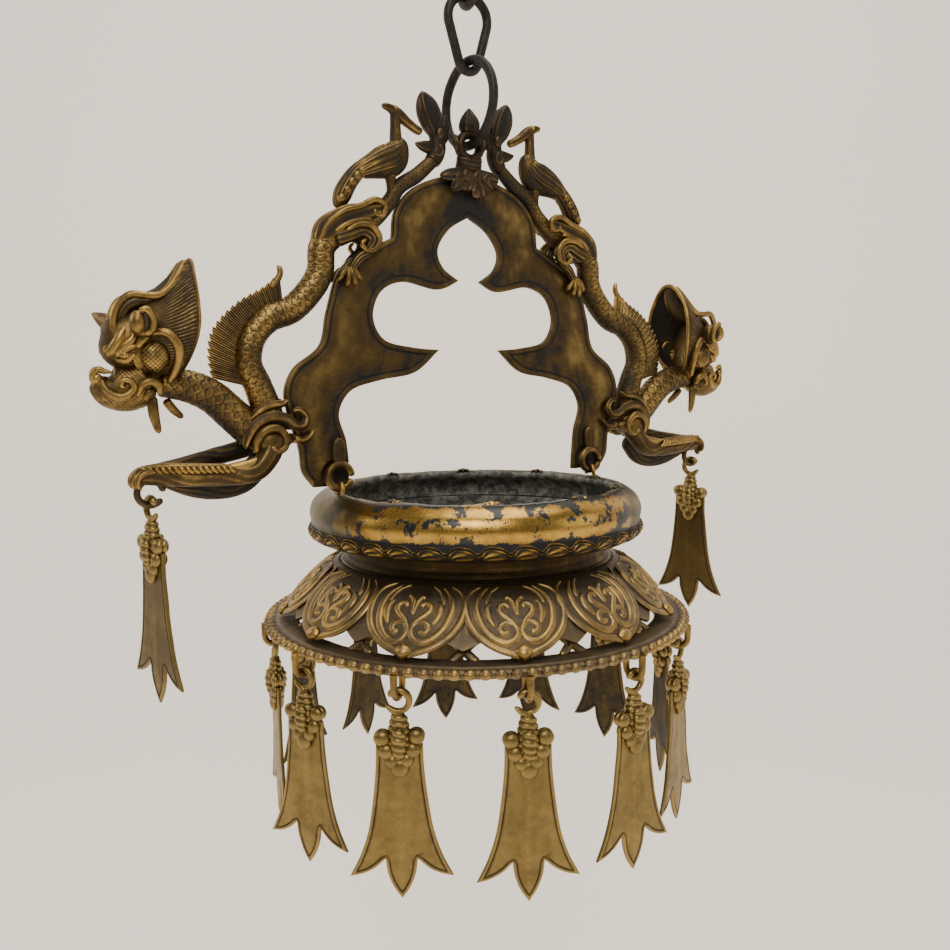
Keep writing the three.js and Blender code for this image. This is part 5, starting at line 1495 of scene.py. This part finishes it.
def build_birds(sizes):
    """A peacock on each dragon's tail: feathered body and wings, a tail with round bosses, a crest."""
    for hand, side in SIDES:
        casting = Casting()
        casting.bar([(56, 0, 259, 3), (58, 0, 252, 8.2, 6.6), (63.5, 0, 243, 12, 8.6),
                     (72, 0, 239, 11.6, 8.4), (82, 0, 235, 8.6, 7), (90, 0, 232, 6.4, 6)],
                    skin=scaly(13, 0.12), sides=104, step=0.7)
        casting.bar([(80, 0, 237, 6, 6.5), (89, 0, 233, 5.8, 6.8), (98, 0, 223.5, 6.2, 7.2),
                     (104.6, 0, 212, 6.4, 7.4), (108, 0, 203, 3.4, 4)], skin=flutes(14, 0.3, 0.08, 0.3),
                    sides=84, step=1.2)
        casting.bar([(59, 0, 247, 7), (60.4, 0, 256, 4.8), (60.6, 0, 266, 4.0), (60.4, 0, 274, 4.0),
                     (60, 0, 280, 4.4)], skin=scaly(7, 0.25), sides=56, step=0.7, ends=(2, 4))
        casting.bar([(71.5, 0, 280, 2.0, 1.8), (66, 0, 279.4, 3.0, 2.4), (59, 0, 276, 4.4, 4.0),
                     (51, 0, 270.5, 3.6, 3.8), (44, 0, 266.5, 3.2, 3.4), (38.6, 0, 264.4, 3.0, 3.2)],
                    skin=flutes(5, 0.2, 0.1, 0.32), sides=42, step=0.9)
        for lift, tone in ((0, 0.34), (-4.6, 0.24)):
            casting.pair([(59, 6.0, 251 + lift, 3, 2), (66, 8.6, 245.5 + lift, 5.6, 2.6),
                          (77, 8.4, 240.5 + lift, 5.0, 2.4), (88, 6.4, 235 + lift, 2.8, 2.0),
                          (95, 5, 230.5 + lift, 0.9, 0.8)],
                         skin=flutes(9, 0.28, tone - 0.1, tone + 0.04), sides=60, step=1)
        casting.twins((61.6, 3.9, 279), (1.5, 1.0, 1.5), 0.7, 10, 6)
        for k in range(6):
            t = k / 5
            casting.twins((86 + 20.5 * t, 5.0, 233.5 - 24 * t**1.15 + 1.5 * math.sin(math.pi * t)),
                          (3.4, 3.2, 3.6), 0.36, 14, 9)
        casting.bar([(66, 0, 233, 5), (65, 0, 224, 3.8), (64, 0, 216, 4.6)], 0.2, sides=16, step=0.8)
        casting.cast("feathered_bird_" + side, "arch", "aged_brass", aged_brass(), ["bird_" + side],
                     ARCH, across=side_share(hand))


def slit_bud(bar):
    """An almond with raised rims round a dark slit on both flat sides."""
    facing = np.abs(np.cos(bar.turn))
    share = bar.along[:, None] / bar.length
    body = ease(0.35, 0.5, share) * ease(1.0, 0.85, share)
    slit = ease(0.9, 0.985, facing) * body
    rims = (bump(facing, 0.82, 0.1) + bump(facing, 0.5, 0.14)) * body
    return 0.6 * rims - 1.5 * slit, 0.2 + 0.3 * rims - 0.4 * slit


def build_buds(sizes):
    """The buds that end the dragons' tails, with a leaf on each side."""
    for hand, side in SIDES:
        casting = Casting()
        casting.bar([(30.8, 0, CROWN + 7.2, 6), (28, 0, CROWN + 11, 6.6), (26, 0, CROWN + 18, 6.8),
                     (26.6, 0, CROWN + 27, 5.8, 5.4), (30.5, 0, CROWN + 37, 8.8, 6.8),
                     (34.2, 0, CROWN + 46.5, 8.6, 6.6), (37, 0, CROWN + 54, 4.8, 4.2),
                     (38.2, 0, CROWN + 58, 1.2)], skin=slit_bud, sides=64, step=0.9, ends=(0, 2))
        for leaf in (((27, 0, CROWN + 17, 5, 3.8), (33, 0, CROWN + 17.5, 5.0, 3.4),
                      (39, 0, CROWN + 18, 3.6, 2.6), (45, 0, CROWN + 19.4, 0.9)),
                     ((25, 0, CROWN + 21, 5, 3.8), (20.5, 0, CROWN + 28, 5.0, 3.4),
                      (19, 0, CROWN + 36, 3.6, 2.6), (18.6, 0, CROWN + 43, 0.9))):
            casting.bar(leaf, skin=flutes(5, 0.3, 0.1, 0.4), sides=42, step=1)
        casting.twins((26, 5, CROWN + 27), (3.4, 2.6, 4.4), 0.45, 14, 9)
        casting.pair(curl((28, CROWN + 14), 4.6, 90, 1.1, 1.6, 5.8), 0.4, sides=8, step=0.9)
        casting.cast("almond_bud_" + side, "arch", "dark_brass", dark_brass(), ["bud_" + side],
                     ARCH, across=side_share(hand))


EYE_SET_BACK = -4.2
EYE_RISE = 20.5


def build_finial(sizes):
    """The eye that hangs in the ring, on a ribbed stem, with a bud and two prongs."""
    casting = Casting()
    y, level = EYE_SET_BACK, CROWN + EYE_RISE
    casting.bar([(0, 0, CROWN + 0.3, 4.2, 12), (0, y * 0.75, CROWN + 8.2, 8, 10.5),
                 (0, y, CROWN + 14, 5.6, 11)],
                skin=waves(2.6, 0.6, low=0.1, high=0.6), sides=48, step=0.6, side=(1, 0, 0), ends=(0, 2))
    turn, section = round_angles(64), round_angles(20)
    radial = 9.0 + 3.4 * np.cos(section)
    casting.add(np.stack(np.broadcast_arrays(
        np.cos(turn)[:, None] * radial, y + 5.2 * np.sin(section) * np.ones((64, 1)),
        level + np.sin(turn)[:, None] * radial), axis=-1), 0.25, ring=True)
    casting.bar([(0, y, level + 8, 4.5, 5), (0, y, level + 14, 7.6, 8.4), (0, y, level + 20, 6.6, 7.2),
                 (0, y, level + 26, 2.6, 3), (0, y, level + 29, 0.7)], skin=flutes(8, 0.5, 0.05, 0.4),
                sides=60, step=0.9, side=(1, 0, 0))
    for hand in (-1, 1):
        casting.bar([(hand * 8, y, level - 3, 4, 4), (hand * 12, y, level + 3, 2.8, 3.4),
                     (hand * 11.5, y, level + 8.5, 0.8)], skin=flutes(6, 0.4, 0.15, 0.6), sides=30, step=0.9)
    casting.cast("eye_with_bud", "arch", "dark_brass", dark_brass(), ["eye_finial"], ARCH)


def build_scroll_leaf(sizes):
    """An acanthus spray on the front of the crown: overlapping lobes with veins, curled at their ends."""
    casting = Casting()
    front = -PLATE_HALF - 0.3
    base = CROWN
    casting.ball((0, front - 2.6, base - 3), (12, 4.2, 7.5), 0.3, 30, 16)
    for x, h, wide, deep in ((-27.5, -4, 4.6, 3.0), (24.5, -4, 4.6, 3.0), (-18, -13.5, 5.4, 3.2),
                             (19, -11, 5.0, 3.2), (-4, -14.5, 5.8, 3.5), (10.5, -18.6, 5.8, 3.7)):
        casting.bar([(x * 0.05, front - 3, base + 1, wide * 0.7, 3),
                     (x * 0.4, front - 3.6, base + h * 0.28, wide, deep),
                     (x * 0.78, front - 3.6, base + h * 0.74, wide * 0.95, deep),
                     (x, front - 2.6, base + h, 1.6, 1.4)],
                    skin=flutes(6, 0.5, 0.1, 0.6), sides=56, step=0.9)
    for x, h in ((-12, -4), (-5, -2), (4, -3), (12, -4), (-8, -9), (0, -8), (8, -10), (3, -14)):
        casting.ball((x, front - 5.4 - 0.05 * h, base + h), (4.4, 2.4, 5.0), 0.5, 16, 10)
    casting.cast("acanthus_spray", "arch", "dark_brass", dark_brass(), ["scroll_leaf"], ARCH)


def arc_stations(centre, radius, start, end, wire, first, second, count=24):
    """Stations along an arc in the plane of two directions, with angles in degrees."""
    angle = np.radians(np.linspace(start, end, count))[:, None]
    way = np.cos(angle) * np.asarray(first) + np.sin(angle) * np.asarray(second)
    return np.column_stack([np.asarray(centre) + radius * way, np.full((count, 2), wire)])


# Radius of the bend and half the wire of the hooks, staples and paw rings, in millimetres
HOOK_BEND, HOOK_WIRE = 8.9, 2.9
STAPLE_BEND, STAPLE_WIRE = 5.0, 1.7
PAW_BEND, PAW_WIRE = 8.4, 2.4


def build_hooks(sizes):
    """Curled hooks at the feet of the arch, the staples they hold, and the rings in the paws."""
    along_x, along_y, along_z = np.eye(3)
    for _, side in SIDES:
        x = joint_hook(side)
        hook = Casting()
        y = joint_place("dish_swing")[1] - ARCH[1]
        hook.bar(arc_stations((x, y, HOOK_BEND), HOOK_BEND, -4, 348, HOOK_WIRE, along_x, along_z, 40), 0.3,
                 sides=20, step=0.9, side=(0, 1, 0), ends=(2.6, 3))
        hook.bar([(x, y, 17.6, 2.5, 3.2), (x, y + 0.7, 21, 2.4, 4.6), (x, -6.0, 25, 2.2, 5),
                  (x, -6.0, 34, 2.1, 4.4), (x, -6.0, 37.6, 1.2, 2)], 0.2, sides=20, step=0.9,
                 side=(1, 0, 0), ends=(1, 2))
        hook.cast("curled_hook_" + side, "arch", "aged_brass", aged_brass(), ["foot_hook_" + side], ARCH)
        low, high = node_box("dish_staple_" + side)
        staple = Casting()
        middle = np.array([*(low + high)[:2] / 2, high[2] - STAPLE_WIRE - STAPLE_BEND])
        bend = arc_stations(middle, STAPLE_BEND, 180, 0, 1.66, along_y, along_z, 16)
        legs = [[middle[0], middle[1] + way * STAPLE_BEND, low[2], STAPLE_WIRE, STAPLE_WIRE]
                for way in (-1, 1)]
        staple.bar([legs[0], *bend, legs[1]], 0.5, sides=14, step=0.9, side=(1, 0, 0), ends=(0, 0))
        staple.cast("rim_staple_" + side, "dish", "aged_brass", aged_brass(), ["dish_staple_" + side])
        low, high = node_box("paw_ring_" + side)
        middle = np.array([*(low + high)[:2] / 2, low[2] + PAW_WIRE + PAW_BEND])
        ring = Casting()
        ring.bar(arc_stations(middle, PAW_BEND, 0, 330, 2.36, along_x, along_z, 40), 0.5, sides=16, step=0.9,
                 side=(0, 1, 0), ends=(2.5, 2.5))
        ring.cast("curled_paw_ring_" + side, "arch", "dark_brass", dark_brass(), ["paw_ring_" + side])


def length_setting(name, description, default):
    return FloatProperty(name=name, description=description, default=default, unit="LENGTH",
                         subtype="DISTANCE")


def colour_setting(name, description, default):
    return FloatVectorProperty(name=name, description=description, default=default, size=3, subtype="COLOR")


class LampSizes(bpy.types.PropertyGroup):
    """Sizes that a user may change."""

    wire: length_setting("Iron wire", "Thickness of the ring's and links' wire", 0.0075)
    waves: IntProperty(name="Wave scrolls", description="Scrolls round the band of the dish", default=38)
    beads: IntProperty(name="Beads", description="Beads round the flange", default=104)
    bead_size: length_setting("Bead size", "Width of a bead of the flange", 0.0076)
    scale_length: length_setting("Scale length", "Length of one scale on the dragons", 0.0076)
    drop: length_setting("Floor below", "Distance from the lowest pendant to the floor", 0.45)


class LampFinish(bpy.types.PropertyGroup):
    """Colours that a user may change."""

    bright: colour_setting("Worn brass", "Brass that is handled or stands out", (0.5, 0.32, 0.095))
    plate: colour_setting("Plate brass", "Faces of the arch plate", (0.27, 0.18, 0.06))
    # On the dish this gold is the painted sheen on the side that faces the camera.
    gold: colour_setting("Dish brass", "Polished bulge of the dish", (0.64, 0.385, 0.085))
    olive: colour_setting("Pendant brass", "Dull brass of the pendants", (0.32, 0.225, 0.078))
    crown: colour_setting("Crown brass", "Dark brass of buds and leaves", (0.17, 0.115, 0.062))
    brown: colour_setting("Brown patina", "Brass that has gone brown", (0.1, 0.066, 0.028))
    dark: colour_setting("Black patina", "Dirt and patina in the hollows", (0.014, 0.012, 0.0095))
    iron: colour_setting("Iron", "Forged iron of the ring and links", (0.014, 0.0125, 0.012))
    backdrop: colour_setting("Backdrop", "Pale floor and backdrop", (0.83, 0.765, 0.675))


# Stage
CAMERA_PLACE = (-0.3483, -0.6177, -0.3234)
CAMERA_ANGLES = (-29.53, 6.26, -0.66)
LENS, SENSOR = 33.6, 36
BACKDROP_GLOW, WORLD_LIGHT = 0.66, 0.22
BACKDROP_DISTANCE, BACKDROP_BEND, BACKDROP_HALF_WIDTH = 1.5, 0.7, 6.0
BACKDROP_RUN = 5.0
# Name, place, width and power of each soft light, all aimed at one point
LIT_POINT = Vector((0, 0, -0.35))
LIGHTS = (
    ("Key", (-1.2, -2.0, 1.5), 1.3, 40),
    ("Fill", (1.7, -1.7, 0.3), 1.5, 8),
    ("Top", (0.2, -0.2, 1.7), 1.4, 24),
    ("Rim", (-1.7, 0.9, 0.5), 1.0, 9),
)


def build_stage(sizes):
    """Camera at the photograph's place, pale floor that curves up into a backdrop, soft lights."""
    azimuth, pitch, roll = (math.radians(angle) for angle in CAMERA_ANGLES)
    eye = bpy.data.cameras.new("View")
    eye.lens, eye.sensor_width = LENS, SENSOR
    camera = linked("View", eye)
    facing = (Matrix.Rotation(azimuth, 4, "Z") @ Matrix.Rotation(math.pi / 2 - pitch, 4, "X")
              @ Matrix.Rotation(roll, 4, "Z"))
    camera.rotation_euler = facing.to_euler()
    camera.location = CAMERA_PLACE
    bpy.context.scene.camera = camera
    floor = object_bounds()[0][2] - sizes.drop
    back, bend = BACKDROP_DISTANCE, BACKDROP_BEND
    arc = np.linspace(0, math.pi / 2, 17)
    curve = np.concatenate([
        [[-BACKDROP_RUN, floor]],
        np.stack([back - bend + bend * np.sin(arc), floor + bend - bend * np.cos(arc)], axis=1),
        [[back, floor + BACKDROP_RUN]]])
    across = np.array([math.cos(azimuth), math.sin(azimuth)])
    ahead = np.array([-math.sin(azimuth), math.cos(azimuth)])
    rows = []
    for side in (-1, 1):
        flat = side * BACKDROP_HALF_WIDTH * across + curve[:, :1] * ahead
        rows.append(np.column_stack([flat, curve[:, 1]]))
    count = len(curve)
    points = np.concatenate(rows)
    k = np.arange(count - 1)
    faces = np.stack([k, count + k, count + k + 1, k + 1], axis=1)
    mesh = bpy.data.meshes.new("backdrop")
    mesh.from_pydata(points.tolist(), [], faces.tolist())
    mesh.shade_smooth()
    material, tree, shader = new_material("Pale plaster")
    where = own_place(tree)
    tint = noise(tree, where, 1.6, 4.0, 0.55)
    pale = finish().backdrop
    colour = blend_colour(tree, tint, rgba([0.97 * value for value in pale]), rgba(pale))
    tree.links.new(colour, shader.inputs["Base Color"])
    tree.links.new(colour, shader.inputs["Emission Color"])
    shader.inputs["Emission Strength"].default_value = BACKDROP_GLOW
    shader.inputs["Roughness"].default_value = 0.9
    mesh.materials.append(material)
    sheet = linked("backdrop", mesh)
    sheet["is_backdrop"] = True
    world = bpy.data.worlds.new("Studio")
    world.use_nodes = True
    world.node_tree.nodes["Background"].inputs[0].default_value = (1.0, 0.97, 0.93, 1)
    world.node_tree.nodes["Background"].inputs[1].default_value = WORLD_LIGHT
    bpy.context.scene.world = world
    for name, place_at, size, power in LIGHTS:
        light = bpy.data.lights.new(name, "AREA")
        light.size, light.energy, light.color = size, power, (1.0, 0.96, 0.9)
        lamp = linked(name, light)
        lamp.location = place_at
        lamp.rotation_euler = (LIT_POINT - Vector(place_at)).to_track_quat("-Z", "Y").to_euler()


STEPS = (
    ("iron", "Iron ring and links", build_iron),
    ("arch_plate", "Arch plate", build_arch_plate),
    ("dish", "Oil dish", build_dish),
    ("collar", "Collar", build_collar),
    ("lotus", "Lotus skirt", build_lotus),
    ("flange", "Beaded flange", build_flange),
    ("dragons", "Dragons", build_dragons),
    ("birds", "Birds", build_birds),
    ("buds", "Buds", build_buds),
    ("finial", "Eye with bud", build_finial),
    ("scroll_leaf", "Acanthus spray", build_scroll_leaf),
    ("hooks", "Hooks, staples and paw rings", build_hooks),
    ("eyes", "Pendant eyes", build_eyes),
    ("pendants", "Pendants", build_pendants),
    ("stage", "Stage, lights and camera", build_stage),
)


def step_operator(key, label, build):
    """An operator that builds one group of pieces."""

    class Step(bpy.types.Operator):
        bl_idname = "temple_lamp." + key
        bl_label = label
        __doc__ = build.__doc__

        def execute(self, context):
            build(context.scene.lamp_sizes)
            return {"FINISHED"}

    Step.__name__ = "TEMPLE_LAMP_OT_" + key
    return Step


class TEMPLE_LAMP_PT_panel(bpy.types.Panel):
    """Lists the sizes, colours and steps."""

    bl_label = "Temple lamp"
    bl_space_type = "VIEW_3D"
    bl_region_type = "UI"
    bl_category = "Temple lamp"

    def draw(self, context):
        for group in (context.scene.lamp_sizes, context.scene.lamp_finish):
            for name in group.__annotations__:
                self.layout.prop(group, name)
        for key, label, _ in STEPS:
            self.layout.operator("temple_lamp." + key, text=label)


CLASSES = [LampSizes, LampFinish, *(step_operator(*step) for step in STEPS), TEMPLE_LAMP_PT_panel]


def register():
    for item in CLASSES:
        bpy.utils.register_class(item)
    bpy.types.Scene.lamp_sizes = PointerProperty(type=LampSizes)
    bpy.types.Scene.lamp_finish = PointerProperty(type=LampFinish)


def unregister():
    del bpy.types.Scene.lamp_finish
    del bpy.types.Scene.lamp_sizes
    for item in reversed(CLASSES):
        bpy.utils.unregister_class(item)


def main():
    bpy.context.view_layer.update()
    register()
    for key, _, _ in STEPS:
        getattr(bpy.ops.temple_lamp, key)()


if __name__ == "__main__":
    main()
